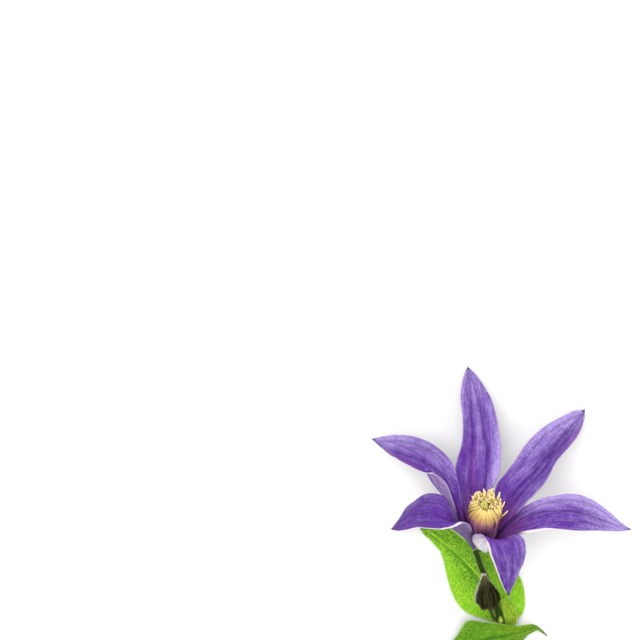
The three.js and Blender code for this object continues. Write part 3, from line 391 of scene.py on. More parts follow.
# ---- a sheet of tissue: sepal or leaf --------------------------------------
def blade(table, inner, ns, nw, half, relief, turned, edge, values):
    """Rings round a thin curved sheet.
    table: stations of five points; inner: +1 or -1, the way that the upper face looks;
    half(s, w): half thickness; relief(s, w): rise of the sheet towards its upper face;
    turned: {0 or 1: (width(s), turn in radians)} for margins that turn; edge(s): half thickness there."""
    t = np.asarray(table, float).reshape(len(table), 5, 3)
    s = np.linspace(0, 1, ns + 1)
    w = np.linspace(0, 1, nw + 1)
    rows = spline(t, s * (len(t) - 1))
    mid = spline(rows.transpose(1, 0, 2), w * 4).transpose(1, 0, 2)
    S, W = np.meshgrid(s, w, indexing="ij")
    nor = inner * unit(np.cross(np.gradient(mid, axis=0), np.gradient(mid, axis=1)))
    nor[-1] = nor[-2]
    mid = mid + nor * relief(S, W, mid)[..., None]
    cols, where = [mid[:, j] for j in range(nw + 1)], list(w)
    steps = 4
    for side in (0, 1):
        width, turn = turned[side]
        wd = width(s)
        at = 0 if side == 0 else -1
        e, f = (mid[:, 0], mid[:, 1]) if side == 0 else (mid[:, -1], mid[:, -2])
        out = unit(e - f)
        n = unit(nor[:, at] - out * (nor[:, at] * out).sum(-1, keepdims=True))
        p = e
        for k in range(1, steps + 1):
            ang = turn * (k - 0.5) / steps
            p = p + (out * math.cos(ang) + n * math.sin(ang)) * (wd / steps)[:, None]
            if side == 0:
                cols.insert(0, p)
                where.insert(0, -0.03 * k)
            else:
                cols.append(p)
                where.append(1 + 0.03 * k)
    m = np.stack(cols, 1)
    q = np.array(where)
    du, dv = np.gradient(m, axis=0), np.gradient(m, axis=1)
    nor = inner * unit(np.cross(du, dv))
    nor[-1] = nor[-2]
    nor[0] = nor[1]
    S, Q = np.meshgrid(s, q, indexing="ij")
    margin = np.minimum(Q - q[0], q[-1] - Q)
    h = half(S, np.clip(Q, 0, 1)) * (0.35 + 0.65 * ramp(margin, 0, 0.12))
    he = edge(s)
    h = np.maximum(h, 0.02)
    up, down = m + nor * h[..., None], m - nor * h[..., None]
    lat0 = unit(m[:, 0] - m[:, 1])
    lat1 = unit(m[:, -1] - m[:, -2])
    arcs = [math.radians(a) for a in (20, 55, 90, 125, 160)]
    end1 = [m[:, -1] + nor[:, -1] * (h[:, -1] * math.cos(a))[:, None] + lat1 * (he * math.sin(a))[:, None] for a in arcs]
    end0 = [m[:, 0] - nor[:, 0] * (h[:, 0] * math.cos(a))[:, None] + lat0 * (he * math.sin(a))[:, None] for a in arcs]
    nc = m.shape[1]
    ring = np.concatenate(
        [up, np.stack(end1, 1), down[:, ::-1], np.stack(end0, 1)], axis=1
    )
    qq = np.concatenate([q, np.full(5, q[-1]), q[::-1], np.full(5, q[0])])
    outer = np.concatenate([np.zeros(nc), np.full(5, 0.5), np.ones(nc), np.full(5, 0.5)])
    n = ring.shape[1]
    # the two cap strips need the ring's halves to face each other
    shift = 0
    faces = ring_faces(ns + 1, n)
    faces += strip_cap(0, n)
    faces += [tuple(reversed(f)) for f in strip_cap(ns * n, n)]
    SS = np.broadcast_to(s[:, None], (ns + 1, n)).ravel()
    QQ = np.broadcast_to(qq[None, :], (ns + 1, n)).ravel()
    OO = np.broadcast_to(outer[None, :], (ns + 1, n)).ravel()
    length = np.concatenate([[0], np.cumsum(np.linalg.norm(np.diff(m[:, nc // 2], axis=0), axis=1))])
    across = np.cumsum(np.concatenate([np.zeros((ns + 1, 1)), np.linalg.norm(np.diff(m, axis=1), axis=2)], 1), 1)
    across = across - across[:, nc // 2][:, None]
    full = np.concatenate([across, np.repeat(across[:, -1:], 5, 1), across[:, ::-1], np.repeat(across[:, :1], 5, 1)], 1)
    vals = values(SS, QQ, OO)
    vals["run"] = np.broadcast_to(length[:, None], (ns + 1, n)).ravel()
    vals["span"] = full.ravel()
    return ring, faces, vals, m, nor


def lines_near(lines, S, W, width):
    """How near a point is to the nearest of some lengthwise lines, 1 on a line."""
    out = np.zeros_like(S)
    for pts, strength in lines:
        pts = np.asarray(pts, float)
        # the place across at each s, interpolated straight between the given points
        at = np.interp(S, pts[:, 0], pts[:, 1])
        out = np.maximum(out, strength * bell(W - at, width))
    return out


# ---- node materials --------------------------------------------------------
class Nodes:
    def __init__(self, name):
        self.mat = bpy.data.materials.new(name)
        self.mat.use_nodes = True
        self.t = self.mat.node_tree
        self.t.nodes.clear()
        self.out = self.t.nodes.new("ShaderNodeOutputMaterial")
        self.bsdf = self.t.nodes.new("ShaderNodeBsdfPrincipled")
        self.t.links.new(self.bsdf.outputs[0], self.out.inputs[0])

    def link(self, a, b):
        self.t.links.new(a, b)

    def value(self, name):
        n = self.t.nodes.new("ShaderNodeAttribute")
        n.attribute_type = "GEOMETRY"
        n.attribute_name = name
        return n.outputs["Fac"]

    def put(self, socket, v):
        if isinstance(v, (int, float)):
            socket.default_value = v
        elif isinstance(v, tuple):
            socket.default_value = v
        else:
            self.link(v, socket)

    def math(self, op, a, b=0.0, c=0.0, clamp=False):
        n = self.t.nodes.new("ShaderNodeMath")
        n.operation = op
        n.use_clamp = clamp
        self.put(n.inputs[0], a)
        self.put(n.inputs[1], b)
        self.put(n.inputs[2], c)
        return n.outputs[0]

    def mix(self, f, a, b, kind="MIX"):
        n = self.t.nodes.new("ShaderNodeMix")
        n.data_type = "RGBA"
        n.blend_type = kind
        n.clamp_factor = True
        self.put(n.inputs[0], f)
        self.put(n.inputs[6], a)
        self.put(n.inputs[7], b)
        return n.outputs[2]

    def span(self, v, a, b, lo=0.0, hi=1.0):
        n = self.t.nodes.new("ShaderNodeMapRange")
        n.clamp = True
        n.interpolation_type = "SMOOTHSTEP"
        self.put(n.inputs["Value"], v)
        n.inputs["From Min"].default_value = a
        n.inputs["From Max"].default_value = b
        n.inputs["To Min"].default_value = lo
        n.inputs["To Max"].default_value = hi
        return n.outputs[0]

    def vector(self, x, y, z=0.0):
        n = self.t.nodes.new("ShaderNodeCombineXYZ")
        self.put(n.inputs[0], x)
        self.put(n.inputs[1], y)
        self.put(n.inputs[2], z)
        return n.outputs[0]

    def place(self, scale=1000.0):
        """Object coordinates in millimetres."""
        c = self.t.nodes.new("ShaderNodeTexCoord")
        n = self.t.nodes.new("ShaderNodeVectorMath")
        n.operation = "SCALE"
        self.link(c.outputs["Object"], n.inputs[0])
        n.inputs["Scale"].default_value = scale
        return n.outputs[0]

    def noise(self, vec, scale, detail=3.0, rough=0.55, distort=0.0):
        n = self.t.nodes.new("ShaderNodeTexNoise")
        self.link(vec, n.inputs["Vector"])
        n.inputs["Scale"].default_value = scale
        n.inputs["Detail"].default_value = detail
        n.inputs["Roughness"].default_value = rough
        n.inputs["Distortion"].default_value = distort
        return n.outputs["Fac"]

    def cells(self, vec, scale, feature="DISTANCE_TO_EDGE", jitter=1.0):
        n = self.t.nodes.new("ShaderNodeTexVoronoi")
        n.feature = feature
        self.link(vec, n.inputs["Vector"])
        n.inputs["Scale"].default_value = scale
        n.inputs["Randomness"].default_value = jitter
        return n.outputs["Distance"]

    def bump(self, height, strength, distance, under=None):
        n = self.t.nodes.new("ShaderNodeBump")
        n.inputs["Strength"].default_value = strength
        n.inputs["Distance"].default_value = distance
        self.link(height, n.inputs["Height"])
        if under is not None:
            self.link(under, n.inputs["Normal"])
        return n.outputs[0]

    def finish(self, colour, roughness, normal=None, sheen=0.0, sheen_tint=(1.0, 1.0, 1.0, 1.0), specular=0.35,
               subsurface=0.0, radius=(1.0, 1.0, 1.0), coat=0.0):
        b = self.bsdf
        self.put(b.inputs["Base Color"], colour)
        self.put(b.inputs["Roughness"], roughness)
        b.inputs["Specular IOR Level"].default_value = specular
        b.inputs["Sheen Weight"].default_value = sheen
        b.inputs["Sheen Roughness"].default_value = 0.45
        b.inputs["Sheen Tint"].default_value = sheen_tint
        if subsurface:
            b.inputs["Subsurface Weight"].default_value = subsurface
            b.inputs["Subsurface Radius"].default_value = radius
            b.inputs["Subsurface Scale"].default_value = 0.0006
        if coat:
            b.inputs["Coat Weight"].default_value = coat
            b.inputs["Coat Roughness"].default_value = 0.35
        if normal is not None:
            self.link(normal, b.inputs["Normal"])
        return self.mat


def sepal_material():
    m = Nodes("sepal_tissue")
    run, span = m.value("run"), m.value("span")
    groove, outer, rim = m.value("groove"), m.value("outer"), m.value("rim")
    base, tip, painted_light = m.value("base"), m.value("tip"), m.value("painted_light")
    flat = m.vector(span, run, m.math("MULTIPLY", outer, 7.0))
    long = m.vector(m.math("MULTIPLY", span, 3.2), m.math("MULTIPLY", run, 0.28), m.math("MULTIPLY", outer, 7.0))
    place = m.place()
    cloud = m.noise(flat, 0.28, 3.0, 0.6)
    mottle = m.noise(place, 1.7, 4.0, 0.65)
    fine = m.noise(place, 6.5, 2.0, 0.5)
    streak = m.noise(long, 1.25, 3.0, 0.6, 0.25)
    broad = m.noise(m.vector(m.math("MULTIPLY", span, 1.25), m.math("MULTIPLY", run, 0.11), m.math("MULTIPLY_ADD", outer, 7.0, 3.0)), 1.25, 3.0, 0.6, 0.2)
    vein = m.span(streak, 0.42, 0.62)

    violet = lin(87, 34, 145)
    light = lin(177, 155, 224)
    deep = lin(62, 26, 98)
    magenta = lin(134, 68, 150)
    plum = lin(84, 38, 92)
    # painted light and sheen from each sepal's map, plus random cloudy tone, lift the violet towards light lavender
    f = m.math("ADD", painted_light, m.math("MULTIPLY", m.math("SUBTRACT", cloud, 0.5), 0.55))
    f = m.math("ADD", f, m.math("MULTIPLY", m.math("SUBTRACT", broad, 0.5), 0.9))
    f = m.math("ADD", f, m.math("MULTIPLY", m.math("SUBTRACT", mottle, 0.5), 0.4))
    f = m.math("ADD", f, m.math("MULTIPLY", m.math("SUBTRACT", streak, 0.5), 0.7), clamp=True)
    col = m.mix(f, violet, light)
    col = m.mix(m.math("MULTIPLY", vein, 0.34), col, lin(78, 40, 126))
    col = m.mix(m.math("MULTIPLY", m.span(fine, 0.5, 0.75), 0.2), col, lin(168, 146, 208))
    col = m.mix(m.math("MULTIPLY", m.span(m.value("flush"), 0.1, 1.0), 0.62), col, lin(122, 54, 142))
    # painted shade: a soft, wide darkening over each groove's valley
    col = m.mix(m.math("MULTIPLY", m.value("groove_shade"), 0.42), col, lin(76, 34, 126))
    # dark groove lines: the vein's own deeper colour, with painted shade in the groove
    col = m.mix(m.math("MULTIPLY", groove, 0.74), col, deep)
    col = m.mix(m.math("MULTIPLY", m.span(broad, 0.58, 0.38), 0.16), col, lin(72, 34, 118))
    col = m.mix(m.math("MULTIPLY", m.span(base, 0.0, 0.75), m.math("MULTIPLY_ADD", broad, 0.7, 0.3)), col, magenta)
    col = m.mix(m.span(base, 0.72, 1.0), col, plum)
    # a faint pale net over the lighter parts
    weave = m.cells(m.vector(m.math("MULTIPLY_ADD", cloud, 1.2, m.math("MULTIPLY", span, 1.5)), m.math("MULTIPLY_ADD", mottle, 0.5, m.math("MULTIPLY", run, 0.62)), outer), 1.0)
    lace = m.math("MULTIPLY", m.span(weave, 0.10, 0.01), m.math("MULTIPLY_ADD", f, 0.18, 0.02))
    col = m.mix(lace, col, lin(206, 184, 238))
    dab = m.math("MULTIPLY", m.span(mottle, 0.54, 0.64), m.math("MULTIPLY_ADD", m.span(f, 0.3, 0.8), 0.46, 0.03))
    col = m.mix(dab, col, lin(204, 190, 236))

    back = m.mix(m.span(cloud, 0.3, 0.7), lin(78, 54, 98), lin(108, 86, 128))
    back = m.mix(m.math("MULTIPLY", m.span(m.value("rib"), 0.15, 0.9), 0.7), back, lin(82, 56, 108))
    back = m.mix(m.value("pale"), back, m.mix(m.span(mottle, 0.35, 0.65), lin(208, 202, 214), lin(236, 234, 232)))
    back = m.mix(m.math("MULTIPLY", m.span(fine, 0.45, 0.7), 0.10), back, lin(214, 206, 220))
    back = m.mix(m.value("lilac"), back, m.mix(m.span(streak, 0.35, 0.65), lin(108, 80, 140), lin(150, 126, 178)))
    col = m.mix(m.span(outer, 0.35, 0.75), col, back)
    faint = m.mix(m.span(fine, 0.35, 0.7), lin(126, 98, 164), lin(168, 148, 196))
    pale = m.mix(m.span(fine, 0.35, 0.7), lin(204, 194, 204), lin(240, 236, 232))
    margin = m.mix(m.value("white"), faint, pale)
    margin = m.mix(m.span(base, 0.06, 0.34), margin, lin(74, 36, 100))
    col = m.mix(rim, col, margin)
    dark = m.mix(fine, lin(48, 30, 66), lin(84, 62, 84))
    col = m.mix(tip, col, dark)
    col = m.mix(m.value("hair"), col, lin(172, 164, 168))

    rough = m.math("MULTIPLY_ADD", mottle, 0.22, 0.46)
    height = m.math("MULTIPLY_ADD", fine, 0.35, m.math("MULTIPLY", streak, 0.9))
    height = m.math("ADD", height, m.math("MULTIPLY", mottle, 0.4))
    normal = m.bump(height, 0.55, 0.00022)
    return m.finish(col, rough, normal, specular=0.13,
                    subsurface=0.08, radius=(1.0, 0.5, 1.3))


def leaf_material(name, low, mid, high, vein_colour, edge_colour, under, net=0.75, olive_shade=None, gloss=0.14, rim_weight=0.7):
    m = Nodes(name)
    run, span = m.value("run"), m.value("span")
    flat = m.vector(span, run, 0.0)
    place = m.place()
    warp = m.noise(flat, 0.5, 2.0, 0.5)
    twist = m.noise(flat, 1.6, 2.0, 0.5)
    bent = m.vector(m.math("MULTIPLY_ADD", warp, 1.6, m.math("MULTIPLY_ADD", twist, 0.5, span)),
                    m.math("MULTIPLY_ADD", warp, 1.2, m.math("MULTIPLY", run, 0.86)), 0.0)
    big = m.cells(bent, 1.15)
    small = m.cells(bent, 2.4)
    tiny = m.cells(bent, 3.2)
    cloud = m.noise(flat, 0.22, 3.0, 0.55)
    mottle = m.noise(place, 1.1, 4.0, 0.65)
    fine = m.noise(place, 6.0, 2.0, 0.5)
    col = m.mix(m.span(mottle, 0.3, 0.7), mid, high)
    dark = m.math("ADD", m.value("shade"), m.math("MULTIPLY", m.math("SUBTRACT", cloud, 0.5), 0.7), clamp=True)
    col = m.mix(dark, col, low)
    # painted shade: the part of the leaf turned away from the light goes olive
    if olive_shade is not None:
        col = m.mix(m.math("MULTIPLY", m.value("olive_shade"), 0.85), col, olive_shade)
    col = m.mix(m.math("MULTIPLY", m.span(tiny, 0.11, 0.01), 0.12 * net), col, vein_colour)
    col = m.mix(m.math("MULTIPLY", m.span(small, 0.13, 0.02), 0.3 * net), col, vein_colour)
    col = m.mix(m.math("MULTIPLY", m.span(big, 0.135, 0.03), m.math("MULTIPLY_ADD", cloud, 1.1 * net, 0.08 * net)), col, vein_colour)
    col = m.mix(m.math("MULTIPLY", m.span(fine, 0.5, 0.8), 0.18), col, high)
    # painted shade beside the veins, on the side away from the light
    col = m.mix(m.math("MULTIPLY", m.span(m.value("valley"), 0.1, 1.0), 0.55), col, low)
    col = m.mix(m.math("MULTIPLY", m.span(m.value("vein"), 0.2, 0.9), 0.9), col, vein_colour)
    col = m.mix(m.value("pale"), col, edge_colour)
    col = m.mix(m.span(m.value("outer"), 0.35, 0.75), col, m.mix(m.value("vein"), under, vein_colour))
    col = m.mix(m.math("MULTIPLY", m.value("rim"), rim_weight), col, edge_colour)
    col = m.mix(m.value("tip"), col, lin(96, 84, 62))
    height = m.math("MULTIPLY", m.span(small, 0.0, 0.2), 0.6)
    height = m.math("ADD", height, m.math("MULTIPLY", m.span(big, 0.0, 0.12), 0.7))
    height = m.math("MULTIPLY_ADD", fine, 0.35, height)
    normal = m.bump(height, 0.5, 0.0002)
    return m.finish(col, m.math("MULTIPLY_ADD", mottle, 0.2, 0.42), normal, specular=gloss,
                    subsurface=0.1, radius=(0.6, 1.0, 0.3))


def stamen_material():
    m = Nodes("stamen_tissue")
    along, crest = m.value("along"), m.value("crest")
    place = m.place()
    spot = m.noise(place, 3.2, 3.0, 0.6)
    fine = m.noise(place, 11.0, 2.0, 0.5)
    cream = m.mix(m.span(spot, 0.3, 0.7), lin(222, 196, 118), lin(236, 212, 142))
    # painted shade: the straps' sides, where they meet their neighbours, go ochre
    col = m.mix(m.math("MULTIPLY", m.span(crest, 0.9, 0.1), 0.5), cream, lin(208, 170, 94))
    col = m.mix(m.math("MULTIPLY", m.span(fine, 0.5, 0.8), 0.3), col, lin(248, 232, 176))
    # painted light: the open straps' faces, shaded inside the boss, are lightened
    col = m.mix(m.math("MULTIPLY", m.value("free"), 0.72), col, lin(255, 238, 172))
    col = m.mix(m.math("MULTIPLY", m.span(m.value("tipness"), 0.3, 0.9), 0.85), col, lin(252, 224, 208))
    # painted shade: the straps that close over the front go ochre near the top
    closed = m.math("SUBTRACT", 1.0, m.value("free"))
    col = m.mix(m.math("MULTIPLY", m.math("MULTIPLY", m.span(along, 1.04, 0.90), closed), 0.62), col, lin(196, 162, 84))
    col = m.mix(m.span(along, 0.93, 0.80), col, lin(184, 146, 92))
    col = m.mix(m.span(along, 0.83, 0.66), col, lin(138, 86, 106))
    col = m.mix(m.span(along, 0.66, 0.42), col, lin(124, 66, 122))
    height = m.math("MULTIPLY_ADD", fine, 0.6, m.math("MULTIPLY", spot, 0.6))
    return m.finish(col, 0.5, m.bump(height, 0.4, 0.0001), specular=0.2,
                    subsurface=0.25, radius=(1.0, 0.8, 0.4))


def pistil_material():
    m = Nodes("pistil_tissue")
    place = m.place()
    spot = m.noise(place, 2.6, 3.0, 0.6)
    fine = m.noise(place, 10.0, 2.0, 0.5)
    col = m.mix(m.span(spot, 0.3, 0.7), lin(212, 208, 84), lin(226, 218, 112))
    col = m.mix(m.span(m.value("along"), 0.9, 1.0), col, lin(224, 220, 120))
    col = m.mix(m.span(m.value("along"), 0.35, 0.0), col, lin(112, 120, 60))
    return m.finish(col, 0.5, m.bump(fine, 0.5, 0.00012), sheen=0.2, specular=0.3, subsurface=0.1, radius=(0.9, 1.0, 0.3))


def receptacle_material():
    m = Nodes("receptacle_tissue")
    place = m.place()
    spot = m.noise(place, 1.4, 4.0, 0.6)
    fine = m.noise(place, 9.0, 3.0, 0.6)
    col = m.mix(m.span(spot, 0.3, 0.7), lin(92, 104, 58), lin(150, 150, 104))
    col = m.mix(m.math("MULTIPLY", m.span(fine, 0.5, 0.75), 0.4), col, lin(196, 192, 168))
    return m.finish(col, 0.62, m.bump(fine, 0.7, 0.0002), sheen=0.2, specular=0.25)


def stem_material():
    m = Nodes("stem_skin")
    place = m.place()
    around, run = m.value("around"), m.value("run")
    long = m.vector(m.math("MULTIPLY", around, 5.0), m.math("MULTIPLY", run, 0.22), 0.0)
    streak = m.noise(long, 1.5, 4.0, 0.6)
    spot = m.noise(place, 1.1, 4.0, 0.6)
    fine = m.noise(place, 8.0, 2.0, 0.5)
    col = m.mix(m.span(streak, 0.35, 0.65), lin(22, 44, 0), lin(42, 72, 0))
    col = m.mix(m.math("MULTIPLY", m.span(spot, 0.45, 0.75), 0.4), col, lin(58, 46, 26))
    col = m.mix(m.span(m.value("fresh"), 0.0, 1.0), col, lin(92, 122, 34))
    col = m.mix(m.math("MULTIPLY", m.span(fine, 0.55, 0.8), 0.14), col, lin(90, 118, 24))
    col = m.mix(m.value("joint"), col, lin(104, 124, 44))
    col = m.mix(m.value("pith"), col, m.mix(m.value("heart"), lin(150, 172, 104), lin(222, 222, 190)))
    col = m.mix(m.math("MULTIPLY", m.value("down"), m.span(fine, 0.25, 0.6)), col, lin(164, 178, 130))
    col = m.mix(m.value("hair"), col, lin(168, 184, 128))
    height = m.math("MULTIPLY_ADD", streak, 0.8, m.math("MULTIPLY", fine, 0.4))
    return m.finish(col, m.math("MULTIPLY_ADD", spot, 0.25, 0.4), m.bump(height, 0.6, 0.0002), specular=0.09)


def bud_material():
    m = Nodes("bud_skin")
    place = m.place()
    along, valley, seam = m.value("along"), m.value("valley"), m.value("seam")
    around = m.value("around")
    long = m.vector(m.math("MULTIPLY", around, 9.0), m.math("MULTIPLY", along, 2.4), 0.0)
    streak = m.noise(long, 1.6, 4.0, 0.6, 0.2)
    fine = m.noise(place, 7.0, 3.0, 0.6)
    col = m.mix(m.span(streak, 0.38, 0.64), lin(19, 21, 2), lin(44, 46, 9))
    # painted shade in the valleys between the ribs and painted light on the rib crests
    col = m.mix(m.math("MULTIPLY", m.span(valley, 0.25, 0.95), 0.8), col, lin(12, 11, 5))
    col = m.mix(m.math("MULTIPLY", m.span(m.value("crest"), 0.6, 1.0), m.math("MULTIPLY", m.math("MULTIPLY_ADD", along, 0.5, 0.25), m.span(streak, 0.3, 0.6))), col, lin(70, 68, 32))
    col = m.mix(m.math("MULTIPLY", m.span(fine, 0.52, 0.8), 0.16), col, lin(84, 82, 46))
    col = m.mix(m.math("MULTIPLY", m.span(along, 0.55, 0.9), m.math("MULTIPLY", m.span(streak, 0.42, 0.6), 0.62)), col, lin(128, 124, 84))
    col = m.mix(m.math("MULTIPLY", m.span(along, 0.12, 0.0), 0.7), col, lin(88, 88, 50))
    col = m.mix(m.math("MULTIPLY", seam, 0.35), col, lin(120, 114, 92))
    col = m.mix(m.math("MULTIPLY", m.span(along, 0.95, 1.0), 0.5), col, lin(196, 188, 166))
    col = m.mix(m.value("hair"), col, lin(240, 238, 228))
    height = m.math("MULTIPLY_ADD", fine, 0.7, m.math("MULTIPLY", streak, 0.6))
    return m.finish(col, 0.7, m.bump(height, 0.7, 0.0002), specular=0.05)


SEPAL_SKIN = sepal_material()
STAMEN_SKIN = stamen_material()
PISTIL_SKIN = pistil_material()
RECEPTACLE_SKIN = receptacle_material()
STEM_SKIN = stem_material()
BUD_SKIN = bud_material()
LEAF_LARGE_SKIN = leaf_material("leaf_large_tissue", lin(38, 130, 0), lin(88, 168, 0), lin(122, 190, 4), lin(188, 226, 76),
                                lin(214, 232, 168), lin(132, 174, 80), 0.8)
LEAF_YOUNG_SKIN = leaf_material("leaf_young_tissue", lin(78, 122, 8), lin(130, 164, 24), lin(156, 186, 50), lin(186, 208, 92),
                                lin(168, 194, 82), lin(160, 188, 84), 0.25, rim_weight=0.3)
LEAF_LOWER_SKIN = leaf_material("leaf_lower_tissue", lin(28, 80, 0), lin(54, 112, 2), lin(82, 138, 10), lin(128, 176, 44),
                                lin(206, 220, 190), lin(120, 158, 84), 0.9, olive_shade=lin(92, 126, 8))

# ---- sepals ----------------------------------------------------------------
# lengthwise grooves: (distance along, place across) from base to tip, strength
GROOVES = {
    "sepal_top": [
        ([(0, 0.42), (0.1, 0.37), (0.2, 0.338), (0.43, 0.35), (0.583, 0.31), (0.725, 0.35), (0.87, 0.47), (1, 0.5)], 1.0),
        ([(0, 0.66), (0.08, 0.71), (0.18, 0.725), (0.28, 0.71), (0.4, 0.688), (0.53, 0.65), (0.65, 0.625), (0.775, 0.61), (0.88, 0.59), (1, 0.5)], 1.0),
        ([(0, 0.25), (0.08, 0.2), (0.16, 0.16), (0.35, 0.185), (0.54, 0.125), (0.7, 0.12), (0.8, 0.16), (0.88, 0.27), (1, 0.5)], 0.5),
    ],
    "sepal_upper_right": [
        ([(0, 0.42), (0.22, 0.488), (0.3, 0.51), (0.4, 0.5), (1, 0.5)], 1.0),
        ([(0, 0.6), (0.15, 0.65), (0.28, 0.66), (0.41, 0.68), (0.54, 0.73), (0.69, 0.738), (0.8, 0.7), (0.93, 0.6), (1, 0.5)], 0.85),
        ([(0, 0.25), (0.17, 0.18), (0.31, 0.2), (0.43, 0.185), (0.56, 0.175), (0.69, 0.17), (0.85, 0.23), (0.94, 0.36), (1, 0.5)], 0.6),
    ],
    "sepal_right": [
        ([(0, 0.35), (0.05, 0.3), (0.12, 0.27), (0.23, 0.275), (0.37, 0.338), (0.48, 0.4), (0.65, 0.412), (0.84, 0.38), (0.94, 0.43), (1, 0.5)], 1.0),
        ([(0, 0.52), (0.16, 0.54), (0.3, 0.66), (0.48, 0.76), (0.71, 0.7), (0.9, 0.64), (1, 0.5)], 0.7),
        ([(0, 0.2), (0.16, 0.13), (0.29, 0.16), (0.43, 0.15), (0.68, 0.15), (0.79, 0.15), (0.9, 0.26), (1, 0.5)], 0.6),
    ],
    "sepal_bottom": [
        ([(0, 0.5), (0.15, 0.58), (0.288, 0.64), (0.471, 0.64), (0.608, 0.625), (0.8, 0.61), (0.925, 0.57), (1, 0.5)], 0.9),
        ([(0, 0.3), (0.2, 0.27), (0.375, 0.262), (0.47, 0.25), (0.63, 0.238), (0.8, 0.27), (0.92, 0.36), (1, 0.5)], 0.6),
        ([(0, 0.7), (0.3, 0.82), (0.475, 0.838), (0.61, 0.838), (0.76, 0.82), (0.9, 0.7), (1, 0.5)], 0.6),
    ],
    "sepal_lower_left": [
        ([(0, 0.5), (0.22, 0.5), (0.35, 0.42), (0.512, 0.438), (0.692, 0.49), (0.88, 0.46), (1, 0.5)], 1.0),
        ([(0, 0.7), (0.3, 0.78), (0.52, 0.81), (0.6, 0.78), (0.7, 0.79), (0.83, 0.78), (0.93, 0.66), (1, 0.5)], 0.6),
        ([(0, 0.3), (0.2, 0.22), (0.4, 0.212), (0.52, 0.232), (0.64, 0.238), (0.77, 0.21), (0.88, 0.27), (1, 0.5)], 0.65),
    ],
    "sepal_upper_left": [
        ([(0, 0.35), (0.07, 0.28), (0.18, 0.23), (0.3, 0.24), (0.41, 0.23), (0.49, 0.26), (0.57, 0.338), (0.63, 0.412), (0.725, 0.49), (0.83, 0.5), (1, 0.5)], 1.0),
        ([(0, 0.15), (0.17, 0.112), (0.3, 0.112), (0.44, 0.09), (0.55, 0.112), (0.65, 0.155), (0.74, 0.175), (0.83, 0.21), (0.91, 0.31), (1, 0.5)], 0.6),
        ([(0, 0.75), (0.2, 0.72), (0.4, 0.72), (0.55, 0.72), (0.69, 0.738), (0.79, 0.69), (0.9, 0.6), (1, 0.5)], 0.6),
    ],
}


def still(width):
    return lambda s: np.full_like(s, width)


def bump_of(pairs):
    return lambda s: curve_at(pairs, s)
